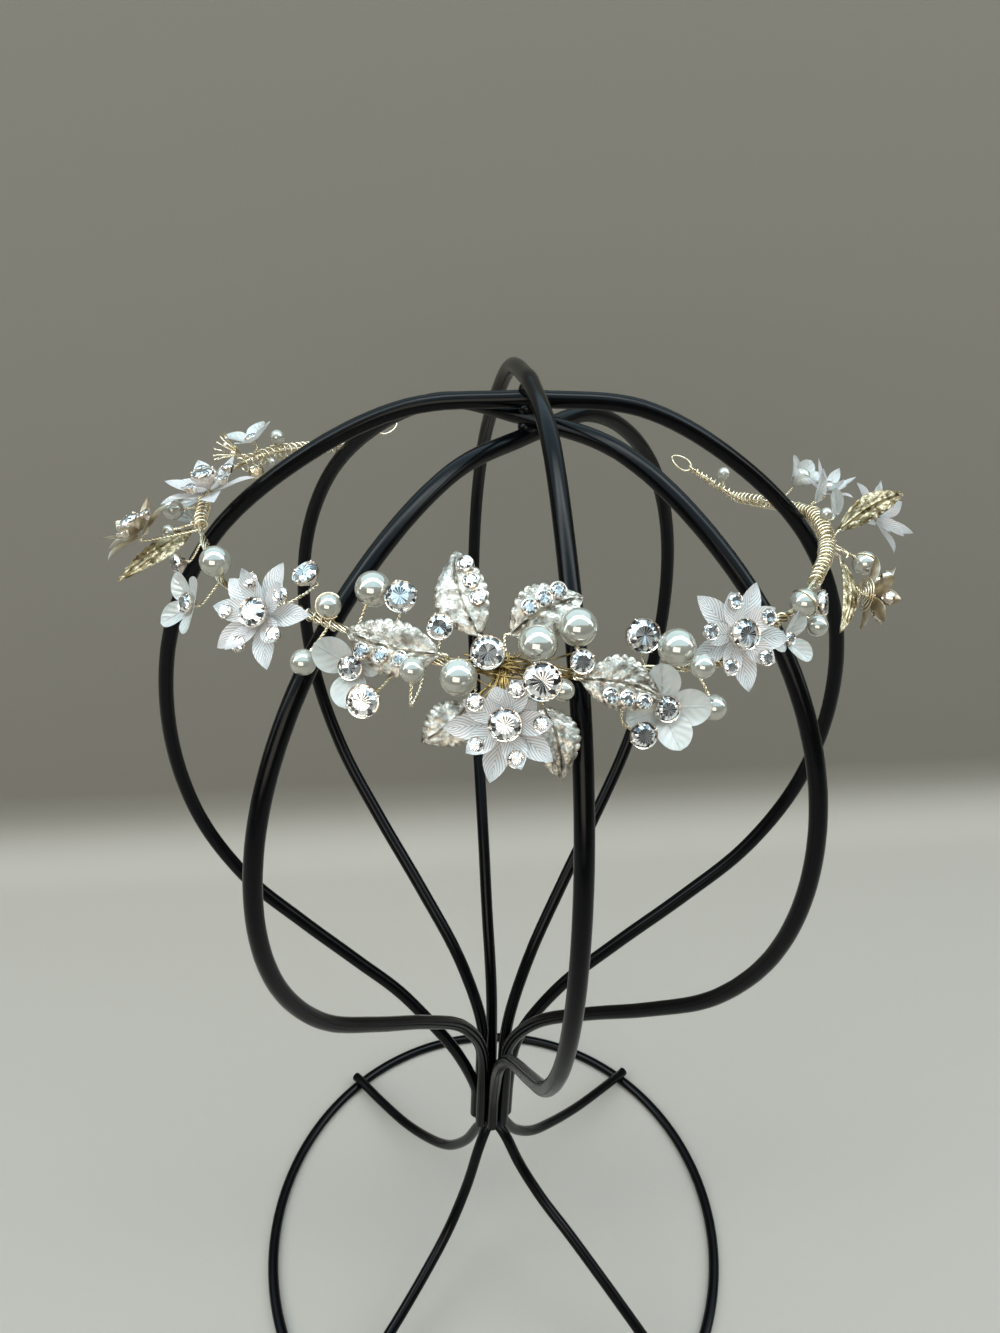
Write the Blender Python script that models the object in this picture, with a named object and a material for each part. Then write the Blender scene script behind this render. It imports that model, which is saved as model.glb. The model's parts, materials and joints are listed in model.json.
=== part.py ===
"""Bridal hair vine on its wire stand.

Pearls, claw-set cut stones, cast leaves, pointed metal flowers and frosted-petal flowers stand on
short twisted stems along one gold wire band. The band lies on the shoulder of a balloon-shaped
stand of four black wire hoops with four legs and a foot ring. Sizes are in millimetres and are
turned into metres where each mesh is made. Turns round the head are in degrees from the front
centre, with + to the right; a drop is a height below the crown.
"""

import math

import bmesh
import bpy
from mathutils import Matrix, Vector

MM = 0.001

# Clearance between pieces that touch on the real object
GAP = 0.3

# Stand wire and the balloon that the hoops make
ROD = 4.0
ROD_SIDES = 6
CAGE_RADIUS = 90.7
CROWN_HEIGHT = 335.5     # wire centre of the lowest hoop at the crown
NECK_HEIGHT = 80.0       # lower ends of the ribs
NECK_RADIUS = (ROD + GAP) / (2 * math.sin(math.radians(22.5)))
LEAN_RIGHT = 6.2         # how far the crown leans off the neck
LEAN_BACK = 2.4
LIFT_SPREAD = 44.0       # how wide the stacked hoops bulge at the crown

# Foot: a post held in the rib bundle, four legs and the ring that lies on the floor
POST_GRIP = 12.0         # how far the post reaches up into the rib bundle
LEG_TOP = 75.0
RING_RADIUS = 89.5
RING_RIGHT = 2.0

# Shape of a rib from the neck up: height share of the balloon, reach share of its radius
RIB_SHAPE = (
    (0.000, 0.000), (0.056, 0.000), (0.163, 0.047), (0.256, 0.197), (0.334, 0.401),
    (0.408, 0.617), (0.486, 0.821), (0.582, 0.958), (0.688, 1.000), (0.795, 0.945),
    (0.890, 0.787), (0.960, 0.539), (0.999, 0.247),
)

# The ribs as bent by hand: place, swing off it, extra width, low pull outwards, belly drop
RIBS = {
    "front": (0, 3, -0.023, 3.1, 2.9),
    "front_right": (45, -2, -0.029, -4.7, 0.0),
    "right": (90, 2, 0.005, -2.0, 1.5),
    "back_right": (135, 0, -0.161, -2.8, -5.6),
    "back": (180, 3, 0.015, 3.7, -8.6),
    "back_left": (225, -2, -0.006, -5.2, -3.5),
    "left": (270, -9, 0.072, 6.6, 12.4),
    "front_left": (315, 5, 0.021, -3.2, -6.9),
}

# Hoops from the lowest at the crown to the highest
HOOPS = (
    ("hoop_diagonal_left", "front_left", "back_right"),
    ("hoop_diagonal_right", "front_right", "back_left"),
    ("hoop_side", "left", "right"),
    ("hoop_front", "front", "back"),
)

# Legs: place and how far each is bowed up, and their shared bend as shares of the ring's radius
# and of the leg's top
LEGS = {"front_right": (44, 17), "back_right": (134, 2), "back_left": (220, -8), "front_left": (316, 0)}
LEG_SHAPE = (
    (0.000, 1.000), (0.035, 0.960), (0.085, 0.860), (0.160, 0.670), (0.280, 0.480),
    (0.430, 0.345), (0.620, 0.220), (0.820, 0.130),
)

# Band: the bundled wire that carries every stem
BAND_SIDES = 6
STEM = 1.0
STEM_SIDES = 5
EYE_LENGTH = 6.5
EYE_WIDTH = 4.0
EYE_WIRE = 1.1

# Route of the band: turn, drop, clear height over the rib line, wire bundle thickness
BAND_ROUTE = (
    (-150, 18.5, 6.5, 1.6), (-143, 20.5, 6.0, 2.2), (-134, 19.5, 7.0, 2.6),
    (-122, 16.5, 10.5, 2.6), (-110, 16.2, 12.8, 2.4), (-98, 17.4, 10.7, 2.2),
    (-88, 18.4, 8.6, 2.0), (-78, 19.0, 6.5, 1.8), (-66, 20.5, 4.5, 1.6),
    (-54, 18.0, 5.4, 1.6), (-44, 17.3, 5.4, 1.6), (-34, 17.5, 5.3, 1.6),
    (-24, 18.5, 5.3, 1.6), (-9, 19.7, 5.4, 1.8), (6, 20.0, 5.4, 1.6),
    (18, 21.3, 5.4, 1.6), (25, 22.3, 5.4, 1.6), (32, 20.5, 5.4, 1.6),
    (45, 20.8, 5.4, 1.8), (56, 20.1, 5.4, 2.2), (68, 20.0, 5.8, 2.8), (78, 20.5, 6.2, 3.2),
    (86, 20.7, 6.2, 2.8), (92, 21.5, 6.0, 2.4), (100, 24.5, 5.6, 2.4),
    (109, 27.7, 5.4, 2.6), (118, 30.0, 5.4, 2.6), (125, 26.0, 5.4, 2.0), (128, 23.5, 5.4, 1.4),
)

# Pearls and beads: turn, drop, clear height over the rib line, diameter
PEARLS = {
    "pearl_big_1": (-33, 11.2, 8.0, 6.9), "pearl_big_2": (-14.7, 18.9, 9.8, 6.8),
    "pearl_big_3": (-4, 13.5, 12.5, 7.0), "pearl_big_4": (2, 11.5, 12.5, 7.0),
    "pearl_big_5": (17, 16.4, 10.5, 7.0), "pearl_big_6": (-66, 15.5, 11.5, 6.5),
    "pearl_mid_1": (-20.5, 16.9, 14.5, 4.5), "pearl_mid_2": (-38.5, 14.0, 9.6, 4.7),
    "pearl_mid_3": (-38, 21.9, 8.0, 5.0), "pearl_mid_4": (-0.4, 20.4, 9.5, 4.1),
    "pearl_mid_5": (18.6, 17.6, 14.8, 4.5), "pearl_mid_6": (21, 26.5, 8.0, 4.8),
    "pearl_mid_7": (45, 17.5, 10.8, 5.6), "pearl_mid_8": (47, 22.8, 8.5, 4.5),
    "pearl_mid_9": (77, 25.5, 10.8, 5.6), "pearl_mid_10": (-93.5, 18.3, 16.2, 5.2),
    "pearl_mid_11": (121, 24.0, 8.5, 3.6), "pearl_mid_12": (-122, 12.5, 15.5, 4.0),
    "bead_gold": (-118, 21.0, 9.0, 4.4),
}

# Cut stones in cups: turn, drop, clear height, diameter, facing turn, facing elevation
STONES = {
    "stone_1": (-11, 14.9, 11.8, 6.1, -6, 33), "stone_2": (-19, 13.3, 9.5, 4.8, -10, 33),
    "stone_3": (-27, 10.7, 9.5, 6.1, -14, 36), "stone_4": (-3.7, 15.1, 20.0, 6.7, -3, 30),
    "stone_5": (2, 15.1, 14.0, 4.3, 2, 30), "stone_6": (13, 15.3, 7.5, 6.5, 6, 33),
    "stone_8": (10, 27.9, 8.5, 4.9, 4, 24), "stone_9": (-27, 24.3, 8.5, 6.1, -14, 30),
    "stone_11": (52.5, 21.5, 8.0, 6.0, 66, 12), "stone_12": (-82, 24.8, 8.0, 5.0, -58, 0),
    "stone_13": (-48, 12.3, 7.5, 5.6, -60, 60),
}

# Leaves: foot (turn, drop, clear height), tip (the same), width, stones on it
LEAVES = {
    "leaf_1": ((-13, 14.5, 7.0), (-22, 5.2, 8.0), 10.4, 3),
    "leaf_2": ((-8, 14.5, 6.2), (4, 8.9, 7.0), 10.4, 3),
    "leaf_3": ((-18, 15.9, 11.0), (-33, 15.9, 11.5), 10.3, 3),
    "leaf_4": ((2, 18.1, 12.0), (13, 21.1, 12.5), 9.8, 3),
    "leaf_5": ((-13, 23.6, 6.5), (-18, 29.3, 7.0), 8.5, 0),
    "leaf_6": ((-3, 23.6, 6.5), (0, 34.0, 7.0), 8.5, 0),
    "leaf_7": ((74, 16.0, 12.5), (83, 9.8, 35.5), 6.0, 0),
    "leaf_8": ((74, 22.8, 8.4), (61, 32.5, 4.0), 4.5, 0),
}

# Metal flowers: turn, drop, clear height, diameter, facing turn and elevation, roll,
# small stones on the petals
FLOWERS = {
    "flower_1": (-8, 23.8, 11.2, 20.5, -4, 30, 0, 5),
    "flower_2": (-47.2, 17.0, 12.0, 21.0, -34, 40, -25, 5),
    "flower_3": (27.6, 16.9, 11.0, 20.8, 14, 32, 22, 5),
    "flower_4": (-95, 14.4, 12.6, 20.0, -90, 80, -20, 4),
    "flower_5": (-85, 18.8, 21.2, 16.0, -90, 58, 0, 2),
    "flower_6": (70, 28.4, 9.4, 14.0, 88, -8, 15, 4),
    "flower_7": (94, 25.0, 22.5, 16.0, 100, 25, 0, 0),
    "flower_8": (96, 18.3, 15.5, 11.0, 60, 78, 0, 0),
}

# Flowers with milky petals: turn, drop, clear height, petal count, petal length and width,
# centre stone, facing turn and elevation, roll
FROSTED = {
    "frosted_1": (-67, 24.0, 9.0, 4, 6.0, 4.4, 4.4, -55, 28, 60),
    "frosted_2": (-31, 21.3, 6.8, 3, 6.0, 5.4, 4.7, -18, 32, 32),
    "frosted_3": (14, 25.1, 8.3, 4, 6.0, 5.4, 4.9, 6, 30, 5),
    "frosted_4": (-115, 9.8, 19.8, 4, 5.6, 4.4, 3.4, -100, 70, 0),
    "frosted_5": (105, 19.7, 16.3, 5, 5.6, 4.2, 4.8, 60, 62, 0),
    "frosted_6": (41, 23.2, 6.5, 3, 4.6, 3.4, 2.4, 30, 28, 60),
}

# Bends of the stems that are led round a neighbour: turn, drop, clear height
BENDS = {
    "pearl_mid_1": ((-20, 22.0, 7.0), (-20, 22.5, 11.5)),
    "stone_8": ((8, 27.0, 5.0),), "stone_9": ((-25, 21.5, 4.0),),
    "flower_6": ((77, 24.0, 6.0), (74, 26.0, 5.5)),
}

PEARL_SIDES = 10
PEARL_BANDS = 5
STONE_SIDES = 8
CUP_DEPTH = 0.45         # share of a stone's diameter
LEAF_THICK = 0.9
LEAF_RIDGE = 1.0
PETAL_THICK = 0.6
PETAL_CUP = 1.6
PETAL_COUNT = 5
PETAL_STONE = 3.2
CENTRE_STONE = 6.2


def material(name, colour, metallic, roughness):
    """A plain Principled BSDF material."""
    mat = bpy.data.materials.new(name)
    mat.use_nodes = True
    shader = mat.node_tree.nodes["Principled BSDF"]
    shader.inputs["Base Color"].default_value = (*colour, 1.0)
    shader.inputs["Metallic"].default_value = metallic
    shader.inputs["Roughness"].default_value = roughness
    return mat


def smooth_path(points, steps):
    """Points of a Catmull-Rom curve through the given points."""
    points = [Vector(p) for p in points]
    ends = [2 * points[0] - points[1]] + points + [2 * points[-1] - points[-2]]
    path = []
    for a, b, c, d in zip(ends, ends[1:], ends[2:], ends[3:]):
        for i in range(steps):
            t = i / steps
            path.append(0.5 * ((2 * b) + (c - a) * t + (2 * a - 5 * b + 4 * c - d) * t * t
                               + (3 * b - a - 3 * c + d) * t ** 3))
    path.append(points[-1])
    return path


def without_straights(path, bend):
    """The same path without the points at which it hardly bends."""
    kept = [path[0]]
    for point, after in zip(path[1:], path[2:]):
        if (point - kept[-1]).angle(after - point) > math.radians(bend):
            kept.append(point)
    return kept + [path[-1]]


def direction(turn, elevation):
    """Unit vector that faces the given turn and looks up by the given elevation."""
    a, e = math.radians(turn - 90), math.radians(elevation)
    return Vector((math.cos(a) * math.cos(e), math.sin(a) * math.cos(e), math.sin(e)))


def axis_at(height):
    """Centre line of the leaning balloon at a height."""
    share = (height - NECK_HEIGHT) / (CROWN_HEIGHT - NECK_HEIGHT)
    return Vector((LEAN_RIGHT * share, LEAN_BACK * share, height))


def bump(x, centre, width):
    """Bell of height 1."""
    return math.exp(-((x - centre) / width) ** 2)


def rib_points(name, level):
    """Smooth centre line of one rib from the neck to the crown."""
    place, swing, wider, pull, drop = RIBS[name]
    rows = []
    for share, out in RIB_SHAPE:
        reach = NECK_RADIUS + (CAGE_RADIUS - NECK_RADIUS) * out * (1 + wider)
        reach += pull * bump(share, 0.24, 0.15) if out else 0.0
        height = NECK_HEIGHT + (CROWN_HEIGHT - NECK_HEIGHT) * share
        height -= drop * math.sin(math.pi * share) ** 2
        height += level * (ROD + GAP) * bump(reach, 0.0, LIFT_SPREAD) if share > 0.68 else 0.0
        turn = place + swing * min(1.0, out / 0.2)
        rows.append((reach, height, turn))
    rows.append((0.0, CROWN_HEIGHT + level * (ROD + GAP), place + swing))
    path = []
    for reach, height, turn in smooth_path(rows, 2):
        if height < NECK_HEIGHT + 0.3 * (CROWN_HEIGHT - NECK_HEIGHT):
            reach = max(NECK_RADIUS, reach)
        path.append(axis_at(height) + reach * direction(turn, 0))
    return path


def rib_reach(name, level, height):
    """How far a rib's upper half stands from the balloon's centre line at a height."""
    reach = 0.0
    path = rib_points(name, level)
    for low, high in zip(path, path[1:]):
        if low.z <= height <= high.z and low.z > NECK_HEIGHT + 0.5 * (CROWN_HEIGHT - NECK_HEIGHT):
            point = low.lerp(high, (height - low.z) / (high.z - low.z))
            reach = (point - axis_at(height)).length
    return reach


def cage_reach(turn, height):
    """Reach of the balloon between its ribs at a turn and a height."""
    levels = {rib: level for level, hoop in enumerate(HOOPS) for rib in hoop[1:]}
    ribs = sorted((place + swing, name) for name, (place, swing, *_) in RIBS.items())
    ribs = [(ribs[-1][0] - 360, ribs[-1][1])] + ribs + [(ribs[0][0] + 360, ribs[0][1])]
    turn %= 360
    for (low, low_name), (high, high_name) in zip(ribs, ribs[1:]):
        if low <= turn <= high:
            share = (turn - low) / (high - low)
            near = rib_reach(low_name, levels[low_name], height)
            far = rib_reach(high_name, levels[high_name], height)
            return near + (far - near) * share
    return CAGE_RADIUS


def on_head(turn, drop, clear):
    """Point at a turn and a drop below the crown that stands off the balloon by a clear height."""
    height = CROWN_HEIGHT - drop
    return axis_at(height) + (cage_reach(turn, height) + clear) * direction(turn, 0)


def link_object(name, build):
    """Object whose mesh is still in millimetres."""
    bmesh.ops.recalc_face_normals(build, faces=build.faces)
    mesh = bpy.data.meshes.new(name)
    build.to_mesh(mesh)
    build.free()
    obj = bpy.data.objects.new(name, mesh)
    bpy.context.scene.collection.objects.link(obj)
    return obj


def finish(obj, mat, sharp=40):
    """Turn the object's mesh into metres and give it its material."""
    obj.data.transform(Matrix.Scale(MM, 4))
    obj.data.shade_smooth()
    obj.data.set_sharp_from_angle(angle=math.radians(sharp))
    obj.data.materials.clear()
    obj.data.materials.append(mat)
    return obj


def make_object(name, build, mat, sharp=40):
    """Finished object from one bmesh."""
    return finish(link_object(name, build), mat, sharp)


def bridge_rings(build, rings, closed=False):
    """Join rings of vertices with quads, and cap both ends unless the rings close."""
    pairs = list(zip(rings, rings[1:])) + ([(rings[-1], rings[0])] if closed else [])
    for low, high in pairs:
        count = max(len(low), len(high))
        for i in range(count):
            j = (i + 1) % count
            corners = [low[i % len(low)], low[j % len(low)], high[j % len(high)], high[i % len(high)]]
            build.faces.new(list(dict.fromkeys(corners)))
    if not closed:
        for ring in (rings[0], rings[-1]):
            if len(ring) > 2:
                build.faces.new(ring)


def tube(path, radii, sides, closed=False):
    """Bmesh of a rod along a path, with a radius at each point."""
    build = bmesh.new()
    rings = []
    facing = (path[1] - path[0]).normalized()
    side = Vector((0, 0, 1)).cross(facing)
    if side.length < 1e-6:
        side = Vector((1, 0, 0))
    for i, point in enumerate(path):
        before = path[i - 1] if i or closed else path[i]
        after = path[(i + 1) % len(path)] if i < len(path) - 1 or closed else path[i]
        along = (after - before).normalized()
        side.rotate(facing.rotation_difference(along))
        side = (side - along * side.dot(along)).normalized()
        facing, up = along, along.cross(side)
        ring = []
        for k in range(sides):
            a = 2 * math.pi * k / sides
            ring.append(build.verts.new(point + radii[i] * (math.cos(a) * side + math.sin(a) * up)))
        rings.append(ring)
    bridge_rings(build, rings, closed)
    return build


def turned(profile, sides):
    """Bmesh of a profile of (radius, height) turned round +Z."""
    build = bmesh.new()
    rings = []
    for radius, height in profile:
        if radius == 0:
            rings.append([build.verts.new((0, 0, height))])
            continue
        rings.append([build.verts.new((radius * math.cos(2 * math.pi * k / sides),
                                       radius * math.sin(2 * math.pi * k / sides), height))
                      for k in range(sides)])
    bridge_rings(build, rings)
    return build


def ball(length, width, sides, bands):
    """Bmesh of a ball or a bead stretched along +Z."""
    rows = [(width / 2 * math.sin(math.pi * i / bands), -length / 2 * math.cos(math.pi * i / bands))
            for i in range(bands + 1)]
    rows[0], rows[-1] = (0, -length / 2), (0, length / 2)
    return turned(rows, sides)


def set_stone(diameter, depth):
    """Bmesh of a cut stone in its cup: a tapered cup, a crown of facets and a table."""
    r = diameter / 2
    return turned([(0.45 * r, -depth), (r, 0), (0.55 * r, 0.2 * diameter)], STONE_SIDES)


def petal_stone(diameter, depth):
    """Bmesh of a small stone: facets that rise from its seat to a table."""
    r = diameter / 2
    return turned([(r, -depth), (0.6 * r, 0.25 * diameter)], STONE_SIDES)


def facing_matrix(point, facing, roll=0.0, along=None):
    """Frame at a point with +Z on the facing direction and +X level, rolled or along a line."""
    z = facing.normalized()
    x = along if along else Vector((0, 0, 1)).cross(z)
    if x.length < 1e-3:
        x = Vector((1, 0, 0))
    x = (x - z * x.dot(z)).normalized()
    y = z.cross(x)
    frame = Matrix((x, y, z)).transposed().to_4x4()
    return Matrix.Translation(point) @ frame @ Matrix.Rotation(math.radians(roll), 4, "Z")


def placed(build, matrix):
    """The same bmesh moved into a frame."""
    bmesh.ops.transform(build, matrix=matrix, verts=build.verts)
    return build


def fused(name, builds, mat):
    """One solid from several overlapping bmeshes, joined by one exact Boolean union."""
    group = bpy.data.collections.new(name + "_pieces")
    for build in builds:
        bmesh.ops.triangulate(build, faces=build.faces)
        piece = link_object(name, build)
        bpy.context.scene.collection.objects.unlink(piece)
        group.objects.link(piece)
    whole = group.objects[0]
    group.objects.unlink(whole)
    bpy.context.scene.collection.objects.link(whole)
    joint = whole.modifiers.new("union", "BOOLEAN")
    joint.operation, joint.solver = "UNION", "EXACT"
    joint.operand_type, joint.collection = "COLLECTION", group
    graph = bpy.context.evaluated_depsgraph_get()
    mesh = bpy.data.meshes.new_from_object(whole.evaluated_get(graph))
    mesh.name = name
    obj = bpy.data.objects.new(name, mesh)
    for piece in list(group.objects) + [whole]:
        bpy.data.objects.remove(piece)
    bpy.data.collections.remove(group)
    obj.name = name
    bpy.context.scene.collection.objects.link(obj)
    return finish(obj, mat)


def build_hoops(black):
    """Four hoops, each of two ribs that meet at the crown."""
    for level, (name, first, second) in enumerate(HOOPS):
        path = without_straights(rib_points(first, level) + rib_points(second, level)[-2::-1], 5)
        make_object(name, tube(path, [ROD / 2] * len(path), ROD_SIDES), black)


def build_foot(black):
    """Post, legs and floor ring, welded into one piece."""
    post_radius = NECK_RADIUS - ROD / 2 - GAP
    post = [axis_at(LEG_TOP - ROD / 4), axis_at(NECK_HEIGHT + POST_GRIP)]
    builds = [tube(post, [post_radius] * 2, ROD_SIDES)]
    centre = Vector((RING_RIGHT, 0, ROD / 2 * math.cos(math.pi / ROD_SIDES)))
    for turn, bow in LEGS.values():
        end = centre + RING_RADIUS * direction(turn, 0) + Vector((0, 0, 0.75 * ROD))
        rows = [Vector((end.x * out, end.y * out, LEG_TOP * rise + bow * math.sin(math.pi * out ** 0.8)))
                for out, rise in LEG_SHAPE]
        path = smooth_path(rows + [end], 1)
        builds.append(tube(path, [ROD / 2] * len(path), ROD_SIDES))
    ring = [centre + RING_RADIUS * direction(360 * k / 32, 0) for k in range(32)]
    builds.append(tube(ring, [ROD / 2] * len(ring), ROD_SIDES, closed=True))
    fused("foot", builds, black)


def band_at(turn):
    """Centre point of the band at a turn."""
    for low, high in zip(BAND_ROUTE, BAND_ROUTE[1:]):
        if low[0] <= turn <= high[0]:
            t = (turn - low[0]) / (high[0] - low[0])
            return on_head(*low[:3]).lerp(on_head(*high[:3]), t)
    return on_head(*BAND_ROUTE[0 if turn < 0 else -1][:3])


def eye_path(start, along, face):
    """Long loop that the band's wire makes at its end, back to its start."""
    side = along.cross(face).normalized()
    path = []
    for k in range(11):
        a = math.pi * (2 * k / 10 - 1)
        path.append(start + along * EYE_LENGTH / 2 * (1 + math.cos(a)) + side * EYE_WIDTH / 2 * math.sin(a))
    return path


def build_band(stems, gold):
    """Band, its two end eyes and every stem, bound into one piece."""
    rows = [on_head(turn, drop, clear) for turn, drop, clear, _ in BAND_ROUTE]
    radii = [thick / 2 for *_, thick in BAND_ROUTE]
    builds = [tube(rows, radii, BAND_SIDES)]
    for end, inner in ((0, 1), (-1, -2)):
        along = (rows[end] - rows[inner]).normalized()
        loop = eye_path(rows[end] - along * 0.4, along, Vector((0, 0, 1)))
        builds.append(tube(loop[:-1], [EYE_WIRE / 2] * 10, STEM_SIDES, closed=True))
    for path in stems:
        builds.append(tube(path, [STEM / 2] * len(path), STEM_SIDES))
    fused("band", builds, gold)


def stem_to(name, turn, foot, away):
    """Stem from the band round to a piece's foot, which it meets along a direction."""
    away = away.normalized()
    end = foot - away * (GAP + 0.1)
    elbow = end - away * 1.2 * STEM
    path = [band_at(turn)] + [on_head(*bend) for bend in BENDS.get(name, ())]
    run = path[-1] - elbow
    if run.length < 1.5 * STEM:
        return path + [end]
    across = run - away * run.dot(away)
    if run.dot(away) < -0.85 * run.length:
        return path + [end]
    if run.dot(away) > 0.3 * run.length:
        path.append(elbow + across.normalized() * 1.2 * STEM)
    return path + [elbow, end]


def build_pearls(stems, pearl, gold):
    """Round pearls, each at the end of a stem."""
    for name, (turn, drop, clear, diameter) in PEARLS.items():
        centre = on_head(turn, drop, clear)
        start = band_at(turn)
        back = (start - centre).normalized()
        frame = facing_matrix(centre, -back)
        bead = placed(ball(diameter, diameter, PEARL_SIDES, PEARL_BANDS), frame)
        make_object(name, bead, gold if name == "bead_gold" else pearl)
        if name in BENDS:
            back = (on_head(*BENDS[name][-1]) - centre).normalized()
        stems.append(stem_to(name, turn, centre + back * diameter / 2, -back))


def build_stones(stems, stone):
    """Cut stones in their cups."""
    for name, (turn, drop, clear, diameter, look, tilt) in STONES.items():
        centre = on_head(turn, drop, clear)
        face = direction(look, tilt)
        depth = CUP_DEPTH * diameter
        make_object(name, placed(set_stone(diameter, depth), facing_matrix(centre, face)), stone, 10)
        stems.append(stem_to(name, turn, centre - face * depth, face))


def leaf_blade(length, width):
    """Bmesh of a leaf along +X: toothed edge, raised midrib, thin closed blade."""
    build = bmesh.new()
    rings = []
    spans = 5
    for i in range(spans + 1):
        share = i / spans
        half = width / 2 * (math.sin(math.pi * share ** 0.8) ** 0.8 if 0 < share < 1 else 0.12)
        half *= 1.06 if i % 2 else 0.94
        x = length * share
        droop = -0.06 * length * (2 * share - 1) ** 2
        ring = [(x, -half, droop), (x, 0, droop + LEAF_RIDGE), (x, half, droop),
                (x, half, droop - LEAF_THICK), (x, -half, droop - LEAF_THICK)]
        rings.append([build.verts.new(corner) for corner in ring])
    bridge_rings(build, rings)
    return build


def build_leaves(stems, pale):
    """Cast leaves, some with a row of three cup stones."""
    for name, (foot, tip, width, stones) in LEAVES.items():
        start, end = on_head(*foot), on_head(*tip)
        along = end - start
        middle = (foot[0] + tip[0]) / 2
        face = direction(middle, 35)
        frame = facing_matrix(start, face - along.normalized() * face.dot(along.normalized()), along=along)
        builds = [placed(leaf_blade(along.length, width), frame)]
        for k in range(stones):
            spot = Matrix.Translation((along.length * (0.34 + 0.2 * k), 0.12 * width, LEAF_RIDGE * 0.8))
            builds.append(placed(petal_stone(0.27 * width, 0.2 * width), frame @ spot))
        fused(name, builds, pale)
        stems.append(stem_to(name, foot[0], start, along))


def petal_star(diameter, petals, rise):
    """Bmesh of two crossed rounds of pointed petals in one thin closed plate."""
    build = bmesh.new()
    outline = []
    for k in range(2 * petals):
        middle = 2 * math.pi * k / (2 * petals)
        long = diameter / 2 * (1.0 if k % 2 else 0.86)
        step = math.pi / (2 * petals)
        outline += [(0.38 * diameter / 2, middle - step), (0.72 * long, middle - 0.62 * step),
                    (long, middle), (0.72 * long, middle + 0.62 * step)]
    layers = []
    for z in (0, -PETAL_THICK):
        layers.append([build.verts.new((r * math.cos(a), r * math.sin(a), z + rise * (2 * r / diameter) ** 2))
                       for r, a in outline])
    top, bottom = build.verts.new((0, 0, 0)), build.verts.new((0, 0, -PETAL_THICK))
    for i in range(len(outline)):
        j = (i + 1) % len(outline)
        build.faces.new((top, layers[0][i], layers[0][j]))
        build.faces.new((bottom, layers[1][j], layers[1][i]))
        build.faces.new((layers[0][i], layers[1][i], layers[1][j], layers[0][j]))
    return build


def build_flowers(stems, blush):
    """Metal flowers: crossed petals, a claw-set centre stone and small stones between the claws."""
    for name, (turn, drop, clear, diameter, look, tilt, roll, small) in FLOWERS.items():
        centre = on_head(turn, drop, clear)
        face = direction(look, tilt)
        frame = facing_matrix(centre, face, roll)
        builds = [placed(petal_star(diameter, PETAL_COUNT, PETAL_CUP), frame)]
        middle = min(CENTRE_STONE, 0.36 * diameter)
        builds.append(placed(set_stone(middle, 0.5 * middle),
                             frame @ Matrix.Translation((0, 0, 0.45 * middle))))
        for k in range(small):
            a = 2 * math.pi * k / PETAL_COUNT
            r = 0.31 * diameter
            spot = Matrix.Translation((r * math.cos(a), r * math.sin(a), 1.3))
            builds.append(placed(petal_stone(PETAL_STONE, 1.6), frame @ spot))
        fused(name, builds, blush)
        stems.append(stem_to(name, turn, centre - face * PETAL_THICK, face))


def build_frosted(stems, milk):
    """Small flowers of milky moulded petals round a cup stone."""
    for name, row in FROSTED.items():
        turn, drop, clear, petals, length, width, stone, look, tilt, roll = row
        centre = on_head(turn, drop, clear)
        face = direction(look, tilt)
        frame = facing_matrix(centre, face, roll)
        builds = [placed(set_stone(stone, 0.55 * stone), frame)]
        for k in range(petals):
            petal = ball(length, width, 6, 3)
            bmesh.ops.scale(petal, vec=(1, 0.32, 1), verts=petal.verts)
            lie = Matrix.Rotation(2 * math.pi * k / petals, 4, "Z") @ Matrix.Translation(
                (0.3 * stone + 0.42 * length, 0, -0.3 * stone))
            lie = lie @ Matrix.Rotation(math.radians(78), 4, "Y") @ Matrix.Rotation(math.radians(90), 4, "Z")
            builds.append(placed(petal, frame @ lie))
        fused(name, builds, milk)
        stems.append(stem_to(name, turn, centre - face * 0.55 * stone, face))


def seat_on_floor():
    """Move the whole object so that its box stands on the floor round the world's origin."""
    parts = [obj for obj in bpy.context.scene.objects if obj.type == "MESH"]
    corners = [v.co for obj in parts for v in obj.data.vertices]
    low = Vector([min(c[i] for c in corners) for i in range(3)])
    high = Vector([max(c[i] for c in corners) for i in range(3)])
    root = bpy.data.objects.new("hair_vine_on_stand", None)
    bpy.context.scene.collection.objects.link(root)
    root.location = (-(low.x + high.x) / 2, -(low.y + high.y) / 2, -low.z)
    for obj in parts:
        obj.parent = root


def main():
    """Build the stand and the vine."""
    for obj in list(bpy.data.objects):
        bpy.data.objects.remove(obj)
    black = material("black enamelled wire", (0.012, 0.012, 0.014), 0.0, 0.25)
    gold = material("champagne gold wire", (0.62, 0.47, 0.25), 1.0, 0.3)
    pearl = material("ivory pearl", (0.86, 0.84, 0.78), 0.0, 0.2)
    stone = material("cut crystal in a pale gold cup", (0.78, 0.8, 0.82), 0.1, 0.05)
    pale = material("pale champagne casting", (0.72, 0.68, 0.6), 1.0, 0.4)
    blush = material("blush enamelled petals", (0.78, 0.72, 0.66), 0.6, 0.35)
    milk = material("frosted moulded petals", (0.82, 0.84, 0.8), 0.0, 0.4)
    stems = []
    build_hoops(black)
    build_foot(black)
    build_pearls(stems, pearl, gold)
    build_stones(stems, stone)
    build_leaves(stems, pale)
    build_flowers(stems, blush)
    build_frosted(stems, milk)
    build_band(stems, gold)
    seat_on_floor()


main()
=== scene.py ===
"""Looks of the bridal hair vine on its black wire stand.

Sizes are in millimetres and every mesh is scaled to metres when it is made. Turns go round the head
in degrees from the front centre, + to the right; a drop is a height below the crown.
"""
import json
import math
import random

import bmesh
import bpy
from mathutils import Matrix, Vector

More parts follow.
